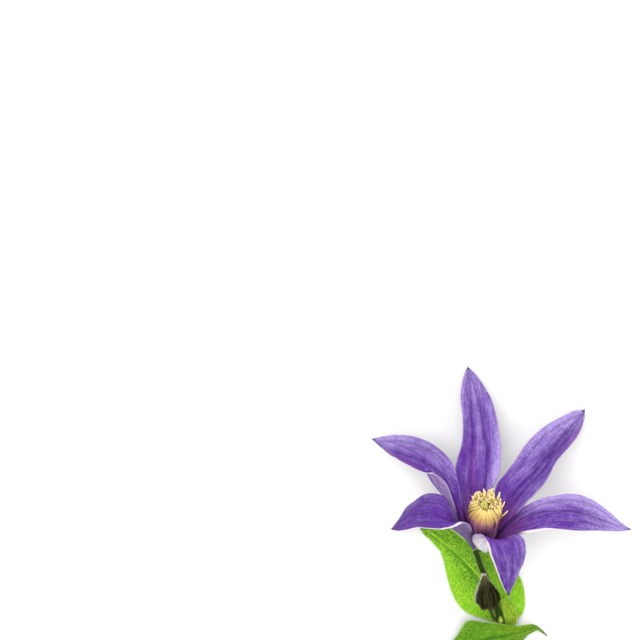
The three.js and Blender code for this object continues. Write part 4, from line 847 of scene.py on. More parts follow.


# per sepal: table, inner side, turned margins, painted light and sheen, paleness of the outside, whiteness of each
# margin, reddish flush, hair tail direction and length
SEPALS = {
    "sepal_top": dict(t=SEPAL_TOP, inner=-1, m0=(bump_of([(0, 0.7), (0.1, 0.8), (0.22, 0.6), (0.36, 0.1), (1, 0.1)]), -0.9), m1=(still(0.10), -0.5),
                      painted_light=lambda S, W: 0.07 + 0.82 * ramp(W, 0.70, 0.95) * bell(S - 0.42, 0.26) + 0.28 * ramp(W, 0.34, 0.08) * ramp(S, 0.45, 0.7)
                      + 0.30 * bell(W - 0.52, 0.14) * ramp(S, 0.25, 0.6) + 0.36 * ramp(S, 0.55, 0.9) ,
                      pale=lambda S, W: 0.15 + 0 * S,
                      white=(lambda s: 0.35 * ramp(s, 0.3, 0.5), lambda s: 0.3 * ramp(s, 0.25, 0.45)),
                      flush=lambda S, W: 0.72 * bell(W - 0.39, 0.09) * ramp(S, 0.72, 0.42) * ramp(S, 0.02, 0.2) + 0.3 * bell(W - 0.55, 0.2) * ramp(S, 0.4, 0.2),
                      tail=(-0.25, 1.0, 0.15), tail_length=1.6, seed=1),
    "sepal_upper_right": dict(t=SEPAL_UPPER_RIGHT, inner=-1, m0=(still(0.08), -0.5), m1=(bump_of([(0, 0.2), (0.03, 0.5), (0.08, 0.8), (0.2, 0.6), (0.3, 0.1), (1, 0.1)]), -0.9),
                              painted_light=lambda S, W: 0.02 + 0.58 * ramp(W, 0.50, 0.1) * ramp(S, 0.28, 0.72) + 0.08 * ramp(S, 0.3, 0.5) + 0.45 * ramp(S, 0.6, 0.92)
                              + 0.16 * bell(W - 0.40, 0.14) * ramp(S, 0.2, 0.5) + 0.2 * ramp(W, 0.58, 0.82) * bell(S - 0.40, 0.22)
                              + 0.12 * ramp(S, 0.3, 0.1),
                              pale=lambda S, W: 0.2 + 0 * S,
                              white=(lambda s: 0.15 + 0.3 * ramp(s, 0.1, 0.02) , lambda s: 0.25 * ramp(s, 0.6, 0.8)),
                              flush=lambda S, W: 0.95 * ramp(S, 0.34, 0.14) + 0.75 * ramp(W, 0.7, 0.95) * ramp(S, 0.5, 0.75) + 0.3 * bell(W - 0.55, 0.1) * ramp(S, 0.55, 0.3),
                              tail=(0.55, 0.8, 0.1), tail_length=1.9, seed=2),
    "sepal_right": dict(t=SEPAL_RIGHT, inner=-1, m0=(still(0.08), -0.5),
                        m1=(bump_of([(0, 0.12), (0.1, 0.2), (0.2, 0.6), (0.36, 0.85), (0.5, 0.6), (0.62, 0.35), (0.75, 0.2), (1, 0.1)]), -1.0),
                        painted_light=lambda S, W: 0.12 + 0.7 * ramp(W, 0.36, 0.06) * ramp(S, 0.22, 0.45) + 0.66 * ramp(S, 0.55, 0.9)
                        + 0.20 * ramp(W, 0.55, 0.2) * ramp(S, 0.15, 0.3),
                        pale=lambda S, W: 0.85 + 0 * S,
                        white=(lambda s: 0.25 * ramp(s, 0.25, 0.4), lambda s: 1.0 * ramp(s, 0.12, 0.24) * (1 - 0.7 * ramp(s, 0.75, 0.95))),
                        flush=lambda S, W: 1.0 * ramp(S, 0.42, 0.16) * bell(W - 0.55, 0.45),
                        tail=(1.0, -0.35, -0.1), tail_length=2.3, seed=3),
    "sepal_bottom": dict(t=SEPAL_BOTTOM, inner=1,
                         m0=(bump_of([(0, 0.12), (0.3, 0.2), (0.42, 0.4), (0.6, 0.45), (0.85, 0.3), (1, 0.1)]), 0.9), m1=(still(0.08), -0.4),
                         painted_light=lambda S, W: 0.06 + 0.24 * ramp(W, 0.6, 0.95) + 0.10 * bell(W - 0.45, 0.12) + 0.08 * ramp(S, 0.5, 0.8),
                         pale=lambda S, W: np.clip(0.5 + 0.42 * ramp(W, 0.05, 0.4) + 0.25 * ramp(S, 0.25, 0.12) - 0.45 * ramp(W, 0.6, 0.9) - 0.3 * ramp(S, 0.27, 0.33), 0, 1),
                         white=(lambda s: 0.2 + 0.8 * ramp(s, 0.40, 0.48), lambda s: 0.3 * ramp(s, 0.3, 0.4)),
                         rim_in=(0.018, 0.0),
                         flush=lambda S, W: 0.45 * ramp(S, 0.5, 0.35) + 0 * W,
                         tail=(0.25, -1.0, -0.4), tail_length=2.0, seed=4),
    "sepal_lower_left": dict(t=SEPAL_LOWER_LEFT, inner=1, m0=(still(0.08), -0.5),
                             m1=(bump_of([(0, 0.12), (0.3, 0.15), (0.42, 0.5), (0.52, 0.62), (0.68, 0.5), (0.8, 0.3), (1, 0.1)]), -1.0),
                             painted_light=lambda S, W: 0.0 + 0.2 * ramp(W, 0.35, 0.08) + 0.04 * ramp(S, 0.6, 0.9),
                             pale=lambda S, W: 0.02 + 0.65 * ramp(W, 0.90, 0.98) * ramp(S, 0.36, 0.48) + 0.4 * ramp(S, 0.5, 0.7),
                             white=(lambda s: 0.25 * ramp(s, 0.4, 0.6), lambda s: 1.0 * ramp(s, 0.36, 0.46)),
                             rim_in=(0.0, 0.018),
                             flush=lambda S, W: 0.45 * ramp(W, 0.62, 0.9) * ramp(S, 0.5, 0.75),
                             tail=(-1.0, -0.12, -0.1), tail_length=1.7, seed=5),
    "sepal_upper_left": dict(t=SEPAL_UPPER_LEFT, inner=1, m0=(still(0.08), -0.5),
                             m1=(bump_of([(0, 0.12), (0.4, 0.2), (0.6, 0.45), (0.75, 0.5), (0.9, 0.3), (1, 0.1)]), -0.9),
                             painted_light=lambda S, W: -0.02 + 0.54 * ramp(W, 0.46, 0.12) * ramp(S, 0.3, 0.6) + 0.45 * ramp(S, 0.65, 0.95)
                             + 0.2 * bell(W - 0.42, 0.14) * ramp(S, 0.2, 0.5),
                             pale=lambda S, W: 0.1 + 0.4 * ramp(S, 0.56, 0.66),
                             white=(lambda s: 0.12 + 0 * s, lambda s: 0.15 + 0.75 * ramp(s, 0.52, 0.62)),
                             rim_in=(0.0, 0.028), lilac=lambda S, W: 0.1 + 0.55 * ramp(S, 0.22, 0.32) * ramp(S, 0.7, 0.6) + 0 * W,
                             flush=lambda S, W: 0.8 * ramp(W, 0.62, 0.9) * ramp(S, 0.55, 0.8) + 0.4 * ramp(S, 0.3, 0.1),
                             tail=(-0.85, 0.4, 0.05), tail_length=2.0, seed=6),
}
SHEET_VALUES = ["run", "span", "groove", "outer", "rim", "base", "tip", "painted_light", "rib", "pale", "hair", "white", "flush", "groove_shade", "lilac"]


def make_sepal(name):
    spec = SEPALS[name]
    if name == "sepal_lower_left":
        t = np.asarray(spec["t"], float).reshape(-1, 5, 3).copy()
        for k, share in enumerate((0.75, 0.7, 0.45, 0.15)):
            t[k, 4] += (t[k, 2] - t[k, 4]) * share
            t[k, 3] += (t[k, 2] - t[k, 3]) * share * 0.8
        spec = dict(spec, t=t.reshape(len(t), 15))
    t = np.asarray(spec["t"], float).reshape(-1, 5, 3).copy()
    centre = t[0].mean(0)
    t[0] = centre + (t[0] - centre) * (0.68 if name in ("sepal_top", "sepal_upper_left") else 1.08 if name == "sepal_upper_right" else 1.0)
    spec = dict(spec, t=t.reshape(len(t), 15))
    lines, seed = GROOVES[name], spec["seed"]

    def relief(S, W, mid):
        g = lines_near(lines, S, W, 0.035)
        fade = ramp(1 - S, 0.02, 0.2)
        rise = -0.24 * g * fade
        # low pads between the grooves
        rise = rise + 0.34 * fade * (1 - lines_near(lines, S, W, 0.11))
        edge = np.minimum(W, 1 - W)
        crinkle = fractal(S * 26, W * 3.0, seed) * ramp(0.22 - edge, 0, 0.2)
        rise = rise + 0.16 * crinkle * ramp(1 - S, 0, 0.15) * ramp(S, 0.12, 0.3)
        rise = rise + 0.10 * fractal(S * 9, W * 3, seed + 20)
        rise = rise + 0.03 * fractal(S * 60, W * 14, seed + 40)
        return rise * ramp(1 - S, 0, 0.06)

    def half(S, W):
        rib = lines_near(lines, S, W, 0.05)
        return (0.17 + 0.10 * ramp(0.25 - S, 0, 0.25) + 0.07 * rib) * (0.35 + 0.65 * ramp(1 - S, 0, 0.05))

    def values(S, Q, O):
        W = np.clip(Q, 0, 1)
        edge = np.minimum(W, 1 - W)
        beyond = np.maximum(-Q, Q - 1)
        rim = np.where(np.abs(O - 0.5) < 0.1, 1.0, 0.0)
        rim = np.maximum(rim, ramp(beyond, -0.004, 0.03))
        rim = np.maximum(rim, (O > 0.6) * ramp(0.1 - edge, 0, 0.1) * 0.7)
        near, far = spec.get("rim_in", (0.0, 0.0))
        rim = np.maximum(rim, (near > 0) * ramp(-Q, -0.002 - near, 0.012 - near * 0.6) * ramp(S, 0.2, 0.35))
        rim = np.maximum(rim, (far > 0) * ramp(Q - 1, -0.002 - far, 0.012 - far * 0.6) * ramp(S, 0.2, 0.35))
        return {
            "groove": lines_near(lines, S, W, 0.022) * ramp(1 - S, 0.0, 0.1) * (0.75 + 0.25 * noise(S * 18, W * 4, seed + 50)),
            # painted shade over the groove valleys
            "groove_shade": lines_near(lines, S, W, 0.065) * ramp(1 - S, 0.0, 0.12),
            "rib": lines_near(lines, S, W, 0.07),
            "outer": O,
            "rim": rim,
            "base": ramp(S, 0.36, 0.0) * 0.72 + 0.28 * ramp(S, 0.1, 0.0),
            "tip": ramp(S, 0.968, 0.99),
            # painted light and sheen, laid out for each sepal
            "painted_light": spec["painted_light"](S, W),
            "pale": spec["pale"](S, W),
            "lilac": spec.get("lilac", lambda S, W: 0.04 + 0 * S)(S, W),
            "white": np.where(W < 0.5, spec["white"][0](S), spec["white"][1](S)),
            "flush": spec["flush"](S, W),
        }

    ring, faces, vals, m, nor = blade(
        spec["t"], spec["inner"], 210, 56, half, relief, {0: spec["m0"], 1: spec["m1"]},
        lambda s: np.full_like(s, 0.14) * (0.4 + 0.6 * ramp(1 - s, 0, 0.06)), values)
    shape = Shape(SHEET_VALUES)
    shape.add(ring.reshape(-1, 3), faces, **vals)
    # the point's fine tail
    nc = m.shape[1]
    root = m[-2, nc // 2]
    d = unit(np.array(spec["tail"], float))
    r = np.random.default_rng(seed)
    for k in range(7):
        off = r.normal(0, 0.04, 3)
        turn = unit(d + r.normal(0, 0.10, 3))
        hair(shape, root - d * 0.5 + off, turn, spec["tail_length"] * r.uniform(0.55, 1.1) + 0.5, 0.05, r.normal(0, 0.14, 3),
             steps=6, hair=1.0 if k else 0.6, tip=0.3 if k else 1.0)
    # short down along the outside of the margins
    for k in range(300):
        i = int(r.integers(70, ring.shape[0] - 4))
        side = r.integers(0, 2)
        at = m[i, 0] if side == 0 else m[i, -1]
        lat = unit(m[i, 0] - m[i, 2]) if side == 0 else unit(m[i, -1] - m[i, -3])
        n = -nor[i, 0] if side == 0 else -nor[i, -1]
        hair(shape, at, lat * r.uniform(0.3, 1.0) + n * r.uniform(0.0, 0.8) + r.normal(0, 0.25, 3), r.uniform(0.14, 0.34), 0.014,
             r.normal(0, 0.2, 3), steps=2, hair=1.0)
    return shape.make(name + "_tissue", SEPAL_SKIN, [name])


for sepal in SEPALS:
    make_sepal(sepal)

# ---- the flower's heart ----------------------------------------------------
AXIS = unit(np.array(FLOWER_AXIS, float))
RIGHT = unit(np.array([1.0, 0, 0]) - AXIS * AXIS[0])
BACK = np.cross(AXIS, RIGHT)
HEART = np.array(FLOWER_CENTRE, float)
STAMEN_RINGS = [[18, 2.6, 5.15, 2.4, 16.0], [18, 2.0, 4.1, 1.7, 15.5], [8, 1.3, 2.6, 1.1, 15.0]]
STAMEN_FOOT, FLARE_DIRECTION = 1.75, 1.05
FLARE = [3.8, 1.7, 0.4]


def local(p):
    p = np.asarray(p, float)
    r, a, h = p[..., 0], p[..., 1], p[..., 2]
    return (HEART + RIGHT * (r * np.cos(a))[..., None] + BACK * (r * np.sin(a))[..., None] + AXIS * h[..., None])


def vary(i, k):
    x = math.sin(i * 12.9898 + k * 78.233) * 43758.5453
    return 2 * (x - math.floor(x)) - 1


def stamen_path(ring, i):
    count, foot, belly, tip, height = STAMEN_RINGS[ring]
    ident = ring * 100 + i
    angle = 2 * math.pi * (i + 0.5 * (ring % 2)) / count
    lean = (0.02 + 0.04 * ring) * vary(ident, 1)
    turn = math.atan2(math.sin(angle), math.cos(angle))
    right, left = bell(turn, 0.8), bell(abs(turn) - math.pi, 0.9)
    wide_open = max(0.0, (math.cos(angle - FLARE_DIRECTION) + 0.25) / 1.25)
    flare = FLARE[ring] * wide_open**1.2 * (0.8 + 0.2 * vary(ident, 2))
    h = height + 0.3 * vary(ident, 3) + 0.28 * flare
    out = []
    for s, k in ((0, 0), (0.22, 0.42), (0.42, 0.66), (0.62, 0.88), (0.8, 0.98), (0.92, 0.9), (1, 0)):
        r = foot + (belly - foot) * k
        if s > 0.9:
            r = tip if s == 1 else tip + (belly - tip) * 0.62
        r += flare * s ** (7, 5, 4)[ring]
        # the barrel is a little fuller on its left than on its right
        r += (0.35 * left * bell(s - 0.4, 0.35) - 1.15 * right * bell(s - 0.68, 0.34)) * (1.0, 0.8, 0.3)[ring]
        out.append([r, angle + lean * s, STAMEN_FOOT + (h - STAMEN_FOOT) * s])
    return np.array(out)


# straps that stand clear, by the outer ring's stamen beside them: angle, radius and height of the tip
STANDING = {
    0: ((-0.16, 6.0, 15.9),),
    1: ((0.30, 5.2, 17.2),),
    2: ((0.62, 4.7, 17.4),),
    3: ((0.88, 5.7, 18.2),),
    5: ((1.75, 6.2, 17.6),),
    6: ((2.05, 6.1, 17.0),),
    7: ((2.40, 6.3, 16.4), (2.70, 5.7, 15.7)),
}


def make_stamen(number, ring, i):
    """Two straps side by side stand for one solid stamen."""
    shape = Shape(["along", "crest", "tipness", "free"])
    count = STAMEN_RINGS[ring][0]
    gap = 2 * math.pi / count / 2
    middle = stamen_path(ring, i)[0, 1]
    behind = max(0.0, math.cos(middle - 1.35)) ** 0.8
    for twin in range((4 if behind > 0.3 else 2, 3, 4)[ring]):
        ident = number * 10 + twin
        p = stamen_path(ring, i)
        place_at = ((-0.5, 0.5, -0.15, 0.35), (-0.62, 0.62, 0.0), (-0.7, 0.7, -0.2, 0.25))[ring][twin]
        angle = p[0, 1] + place_at * gap
        open_ = max(0.0, (math.cos(angle - FLARE_DIRECTION) + 0.25) / 1.25) ** 1.2
        left = math.exp(-(((angle - 2.3) / 0.5) ** 2))
        free = min(1.0, open_ + left)
        # the straps in front close over the top, those behind and on the right stay free
        end = [p[-1, 0] - 0.85 * (1 - free) * (1.0, 0.7, 0.4)[ring] + 0.35 * free, p[-1, 1], p[-1, 2] + (0.45 - 0.25 * free)]
        p[-1, 2] -= 0.25 * (1 - free)
        p = np.concatenate([p, [end]])
        s = np.concatenate([np.linspace(0, 1, len(p) - 1), [1.08]])
        p[:, 0] += (1.7, 1.0, 0.3)[ring] * left * s**4
        p[-1, 0] -= 0.9 * left
        if ring == 1:
            p[:, 0] += 0.52 * (1 - open_) * s
        if ring:
            p[:, 2] -= (0.0, 0.75, 0.9)[ring] * (1 - open_) * s**3
        p[:, 1] += place_at * gap + (0.025 + 0.035 * free) * vary(ident, 5) * s
        p[:, 0] += (0.07, -0.07, -0.45, -0.7)[twin] + 0.10 * vary(ident, 6) * s
        if twin > 1 and ring:
            p[:, 0] -= (0.9 if ring == 1 else 0.35) * s**3
            p[:, 2] -= 0.25 * s
        elif twin > 1:
            # a second row inside the open straps fills the way to the styles
            p[:, 0] -= (1.5, 2.9)[twin - 2] * s**2 * (0.85 + 0.15 * vary(ident, 14))
            p[:, 2] -= (0.2, 0.7)[twin - 2] * s
        p[:, 2] += (0.35 + 0.65 * free) * vary(ident, 7) * s**2 - (0.3 if twin else 0) * s**2
        p[-2:, 0] += 0.45 * free * vary(ident, 11)
        if ring == 0 and i == 15:
            # a strap that has moved aside and leaves a crevice
            p[:, 1] += (-0.06 if twin == 0 else 0.13) * ramp(s, 0.45, 0.85)
            p[:, 0] += (-0.1 if twin == 0 else 0.3) * s
        n = 34
        t = np.linspace(0, len(p) - 1, n + 1)
        c = local(spline(p, t))
        a = spline(p, t)[:, 1]
        along = np.linspace(0, 1, n + 1)
        c = c - RIGHT * (0.42 * (1 - 0.6 * open_) * ramp(along, 0.15, 0.6))[:, None]
        rise = np.interp(t, np.arange(len(p)), s) + 0.26 * free + 0.12 * ring + (0.1 if twin > 1 else 0)
        across = RIGHT * (-np.sin(a))[:, None] + BACK * np.cos(a)[:, None]
        # the tip curls a little, in or out
        curl = (0.15 + 0.45 * free) * vary(ident, 8) + 0.15 * free
        d = unit(np.gradient(c, axis=0))
        out = unit(np.cross(across, d))
        c = c + out * (curl * ramp(along, 0.8, 1.0) ** 2)[:, None]
        c = c + across * ((0.12 + 0.75 * free) * vary(ident, 9) * ramp(along, 0.7, 1.0) ** 2)[:, None]
        d = unit(np.gradient(c, axis=0))
        across = unit(across - d * (across * d).sum(-1, keepdims=True))
        out = unit(np.cross(across, d))
        wide = (0.98, 0.98, 0.9)[ring] + 0.05 * vary(ident, 10)
        w = 0.5 * wide * curve_at([(0, 0.5), (0.25, 0.62), (0.5, 0.9), (0.66, 1.0), (0.78, 0.97), (0.88, 0.76), (0.95, 0.56), (0.985, 0.38), (1, 0.16)], along)
        w = w * (1 + 0.22 * left) * (1 + 0.08 * noise(along * 7, 0 * along, ident)) * (1 - 0.38 * free * ramp(along, 0.6, 0.85))
        # the straps that close over the top lie edge on edge
        w = w * (1 + 0.42 * (1 - free) * bell(along - 0.84, 0.12) * (ring == 0))
        c = c + across * (0.10 * noise(along * 4, 0 * along + 3.3, ident))[:, None] * ramp(along, 0.1, 0.4)[:, None]
        dep = 0.5 * curve_at([(0, 0.26), (0.5, 0.3), (0.72, 0.44), (0.88, 0.42), (0.97, 0.30), (1, 0.12)], along)
        dep = dep * (0.58 + 0.42 * free)
        sides = 14
        ang = np.arange(sides) * 2 * math.pi / sides + math.pi / sides
        # a strap with a shallow groove down its outer face
        ca, sa = np.cos(ang), np.sin(ang)
        px = np.sign(ca) * np.abs(ca) ** 0.8
        py = np.sign(sa) * np.abs(sa) ** 0.9
        groove = 1 - 0.14 * np.exp(-((ca / 0.35) ** 2))
        ring_pts = (c[:, None, :] + across[:, None, :] * (w[:, None] * px)[..., None]
                    + out[:, None, :] * (dep[:, None] * (py * groove))[..., None])
        faces = ring_faces(n + 1, sides)
        faces.append(tuple(range(sides))[::-1])
        faces.append(tuple(n * sides + k for k in range(sides)))
        crest = np.broadcast_to(np.abs(ca)[None, :] < 0.8, (n + 1, sides)).astype(float) * 0.8 + 0.2
        tipness = ramp(along, 0.82, 1.0) * (0.2 + 0.8 * free)
        shape.add(ring_pts.reshape(-1, 3), faces, free=free, along=np.repeat(rise, sides), crest=crest.ravel(), tipness=np.repeat(tipness, sides))
    # a few thin straps stand well clear of the rest
    for a0, reach, top in (STANDING.get(i, ()) if ring == 0 else ()):
        p = np.array([[2.6, a0, 1.75], [3.7, a0, 6.0], [4.1, a0, 10.0], [4.3, a0, top - 3.4], [0.5 * (4.6 + reach), a0, top - 1.3], [reach, a0 + 0.02, top]])
        n, sides = 30, 12
        t = np.linspace(0, len(p) - 1, n + 1)
        c = local(spline(p, t))
        along = np.linspace(0, 1, n + 1)
        across = np.broadcast_to(BACK * math.cos(a0) - RIGHT * math.sin(a0), c.shape)
        d = unit(np.gradient(c, axis=0))
        across = unit(across - d * (across * d).sum(-1, keepdims=True))
        out = unit(np.cross(across, d))
        w = 0.27 * curve_at([(0, 0.7), (0.5, 0.9), (0.75, 1.0), (0.94, 0.85), (1, 0.3)], along)
        dep = 0.17 * curve_at([(0, 0.8), (0.75, 1.0), (0.94, 0.9), (1, 0.35)], along)
        ang = np.arange(sides) * 2 * math.pi / sides
        pts = (c[:, None, :] + across[:, None, :] * (w[:, None] * np.cos(ang))[..., None] + out[:, None, :] * (dep[:, None] * np.sin(ang))[..., None])
        faces = ring_faces(n + 1, sides) + [tuple(range(sides))[::-1], tuple(n * sides + k for k in range(sides))]
        shape.add(pts.reshape(-1, 3), faces, free=0.8, along=np.repeat(along * 1.25, sides), crest=1.0, tipness=np.repeat(ramp(along, 0.7, 0.95), sides))
    return shape.make("stamen_pair_%02d" % number, STAMEN_SKIN, ["stamen_%02d" % number])


number = 0
for ring, spec in enumerate(STAMEN_RINGS):
    for i in range(spec[0]):
        number += 1
        make_stamen(number, ring, i)


def make_pistil():
    shape = Shape(["along"])
    r = np.random.default_rng(77)
    for k in range(13):
        a0 = 2.4 * k
        rad = 0.12 + 0.16 * math.sqrt(k)
        n = 18
        s = np.linspace(0, 1, n + 1)
        h = 1.75 + (15.8 + 0.25 * r.uniform(-1, 1) - 0.06 * k) * s
        p = np.stack([rad * (1.0 + 0.25 * np.sin(2.2 * s) + 0.35 * s**3), a0 + 0.5 * s + 0 * s, h], 1)
        c = local(p) - RIGHT * (1.15 * s**2)[:, None] + BACK * (0.85 * s**2)[:, None]
        radius = 0.21 * curve_at([(0, 1.3), (0.3, 0.95), (0.8, 0.9), (0.93, 1.0), (1, 0.35)], s)
        rings = tube(c, radius, 8)
        faces = ring_faces(n + 1, 8) + [tuple(range(8))[::-1], tuple(n * 8 + j for j in range(8))]
        shape.add(rings.reshape(-1, 3), faces, along=np.repeat(s, 8))
    return shape.make("pistil_styles", PISTIL_SKIN, ["pistil"])


make_pistil()


# ---- receptacle --------------------------------------------------------------
def make_receptacle():
    shape = Shape(["along"])
    profile = [(0.05, -1.2), (1.3, -1.1), (2.4, -0.65), (3.0, -0.05), (3.05, 0.45), (2.6, 0.9), (1.4, 1.3), (0.05, 1.4)]
    n, sides = 42, 72
    t = np.linspace(0, len(profile) - 1, n + 1)
    line = spline(np.array(profile, float), t)
    a = np.linspace(0, 2 * math.pi, sides, endpoint=False)
    # it swells a little towards the foot of each sepal
    swell = sum(np.exp(-((((np.degrees(a) - k + 180) % 360) - 180) / 19) ** 2) for k in (93, 43, -8, -81, -143, 149))
    rings = []
    for radius, height in line:
        near = math.exp(-((height - 0.1) / 0.7) ** 2)
        r = max(radius, 0.05) * (1 + near * (0.03 + 0.12 * swell))
        rings.append(local(np.stack([r, a, height + 0 * a], 1)))
    faces = ring_faces(n + 1, sides) + [tuple(range(sides))[::-1], tuple(n * sides + j for j in range(sides))]
    shape.add(np.concatenate(rings), faces, along=np.repeat(t, sides))
    return shape.make("receptacle_disc", RECEPTACLE_SKIN, ["receptacle"])


make_receptacle()


# ---- stem --------------------------------------------------------------------
def make_stem():
    names = ["around", "run", "joint", "fresh", "pith", "heart", "hair", "down"]
    shape = Shape(names)
    # the top end runs on into the receptacle
    pts = np.array([list(HEART - 0.1 * AXIS) + [1.35], list(HEART - 0.75 * AXIS) + [1.25]] + [list(p) for p in STEM], float)
    n, sides = 420, 36
    t = np.linspace(0, len(pts) - 1, n + 1)
    c = spline(pts[:, :3], t)
    r = spline(pts[:, 3:4], t)[:, 0]
    t = t - 2
    c[:, 0] -= 0.22 * ramp(c[:, 1], -6.0, -3.0) + 0.8 * bell(c[:, 1] - 3.0, 1.0) * ramp(t, 0.0, 1.0)
    run = np.concatenate([[0], np.cumsum(np.linalg.norm(np.diff(c, axis=0), axis=1))])
    c = c + np.stack([0.10 * noise(run / 5, 0 * run, 3), 0 * run, 0.03 * noise(run / 4, 0 * run, 4)], 1) * ramp(t, 1, 3)[:, None]
    ang = np.arange(sides) * 2 * math.pi / sides
    A, R = np.meshgrid(ang, run)
    ribs = 1 + 0.075 * np.cos(6 * A + 0.03 * R) + 0.02 * noise(A * 3, R * 0.5, 9) + 0.02 * noise(A * 6, R * 2, 10)
    joint = bell(t - 11.0, 0.75) + bell(t - 18.0, 0.7)
    ribs = 1 + (ribs - 1) * (1 - 0.6 * np.clip(joint, 0, 1))[:, None]
    rings = tube(c, r[:, None] * ribs * 0.985, sides)
    # the stem never sinks through the surface it lies on
    rings[..., 2] = np.maximum(rings[..., 2], 0.01)
    faces = ring_faces(n + 1, sides)
    vals = dict(around=A.ravel() % 6.283, run=R.ravel(), down=(0.9 * ramp(-np.cos(A), 0.86, 0.96) + 0.55 * ramp(np.cos(A), 0.88, 0.97)).ravel(), joint=np.repeat(np.clip(joint, 0, 1) * 0.7, sides),
                fresh=np.repeat(0.35 * ramp(run, 7, 1) + 0.5 * ramp(t, 17, 22), sides))
    shape.add(rings.reshape(-1, 3), faces + [tuple(range(sides))[::-1]], **vals)
    # the oblique cut: rim, green ring, pale pith
    last = rings[-1]
    centre = last.mean(0)
    d = unit(c[-1] - c[-4])
    prev = shape.n - sides
    levels = [(1.0, 0.0, 0.0, 0.0), (0.92, 0.05, 1.0, 0.0), (0.72, 0.02, 1.0, 0.1), (0.62, -0.05, 1.0, 0.9), (0.3, -0.12, 1.0, 1.0), (0.05, -0.16, 1.0, 1.0)]
    cut, tilt = [], np.array([0.0, 0.0, 1.0])
    for k, push, pith, heart in levels:
        ringp = centre + (last - centre) * k + d * push
        ringp = ringp + d * (((ringp - centre) @ tilt) * 0.45)[:, None]
        cut.append(ringp)
    cut[0] = last
    cutv = np.concatenate(cut)
    f = []
    for i in range(len(levels) - 1):
        for j in range(sides):
            k = (j + 1) % sides
            f.append((i * sides + j, i * sides + k, (i + 1) * sides + k, (i + 1) * sides + j))
    f.append(tuple((len(levels) - 1) * sides + j for j in range(sides)))
    shape.add(cutv, f, around=np.tile(ang, len(levels)), run=run[-1],
              pith=np.repeat([l[2] for l in levels], sides), heart=np.repeat([l[3] for l in levels], sides))
    rr = np.random.default_rng(5)
    T, a, b = frames(c)
    for k in range(3600):
        i = int(rr.integers(6, n - 3))
        an = rr.uniform(0, 2 * math.pi)
        if abs(math.sin(an)) > 0.4 and k > 600:
            continue
        o = a[i] * math.cos(an) + b[i] * math.sin(an)
        root = c[i] + o * r[i] * 0.95
        if root[2] < 0.25:
            continue
        dense = 1.0 if joint[i] > 0.2 else 0.6
        if rr.uniform() > dense:
            continue
        ln = rr.uniform(0.12, 0.32) * (1.5 if joint[i] > 0.25 else 1)
        hair(shape, root, o + T[i] * rr.uniform(-0.5, 0.5) + rr.normal(0, 0.15, 3), ln, 0.011, rr.normal(0, 0.25, 3), steps=2, hair=1.0)
    return shape.make("stem_skin", STEM_SKIN, ["stem"])


make_stem()


# ---- bud ---------------------------------------------------------------------
def make_bud():
    names = ["along", "around", "valley", "seam", "crest", "hair"]
    shape = Shape(names)
    pts = np.array(BUD, float)
    n, sides = 120, 144
    t = np.linspace(0, len(pts) - 1, n + 1)
    c = spline(pts[:, :3], t)
    length = np.concatenate([[0], np.cumsum(np.linalg.norm(np.diff(c, axis=0), axis=1))])
    s = length / length[-1]
    c[:, 0] -= 0.55
    r = 3.74 * curve_at([(0, 0.30), (0.025, 0.50), (0.06, 0.66), (0.12, 0.82), (0.2, 0.95), (0.28, 1.0), (0.36, 0.97), (0.45, 0.88), (0.56, 0.73),
                         (0.68, 0.56), (0.8, 0.38), (0.9, 0.22), (0.96, 0.12), (1, 0.04)], s)
    r = np.convolve(np.pad(r, 4, mode="edge"), np.ones(9) / 9, "valid")
    ang = np.arange(sides) * 2 * math.pi / sides
    A, S = np.meshgrid(ang, s)
    quarter = (A / (2 * math.pi) * 4) % 1.0
    seam = bell(np.minimum(quarter, 1 - quarter), 0.045)
    body = ramp(S, 0.0, 0.12) * ramp(1 - S, 0.0, 0.12)
    ribs = 0.5 + 0.5 * np.cos(quarter * 3 * 2 * math.pi + math.pi)
    lobes = 0.16 * np.cos(4 * A + math.pi) * ramp(S, 0.30, 0.02) + 0.05 * np.cos(4 * A + math.pi) * ramp(S, 0.6, 0.1)
    k = 1 + 0.06 * np.cos(4 * A) * body + body * (0.075 * ribs ** 1.5 - 0.05) - 0.10 * seam * body
    k = k + lobes + (0.03 * noise(A * 8, S * 10, 3) + 0.03 * noise(A * 3.2, S * 3, 8)) * body
    rings = tube(c, r[:, None] * k, sides)
    point = np.clip(np.cos(8 * A + 0.6 + 0.5 * np.sin(A)), -0.2, 1) * ramp(S, 0.2, 0.02) * (0.8 + 0.2 * np.sin(3 * A))
    rings = rings - unit(np.gradient(c, axis=0))[:, None, :] * (0.7 * point)[..., None]
    faces = ring_faces(n + 1, sides) + [tuple(range(sides))[::-1], tuple(n * sides + j for j in range(sides))]
    shape.add(rings.reshape(-1, 3), faces, along=S.ravel(), around=A.ravel(), valley=(1 - ribs).ravel() * 0.9,
              seam=(seam * 0.8).ravel(), crest=ribs.ravel())
    r5 = np.random.default_rng(9)
    T, a, b = frames(c)
    for kk in range(11000):
        i = int(n * r5.uniform(0.02, 0.995))
        j = int(r5.integers(0, sides))
        top = s[i]
        root = rings[i, j]
        o = unit(root - c[i])
        left = ramp(-o[0], 0.84, 0.97)
        right = ramp(o[0], 0.86, 0.97) * ramp(top, 0.4, 0.8)
        keep = 0.008 + 0.6 * ramp(top, 0.93, 0.99) + 0.03 * seam[i, j] + 0.95 * left + 0.5 * right
        if r5.uniform() > keep:
            continue
        ln = r5.uniform(0.12, 0.28) + 0.26 * ramp(top, 0.9, 1.0) * r5.uniform(0.4, 1) + 0.34 * left
        lean = T[i] * r5.uniform(0.5, 1.7)
        hair(shape, root - o * 0.03, o * 0.8 + lean + r5.normal(0, 0.25, 3), ln, 0.018, r5.normal(0, 0.25, 3), steps=2, hair=1.0)
    return shape.make("bud_skin", BUD_SKIN, ["flower_bud"])


make_bud()


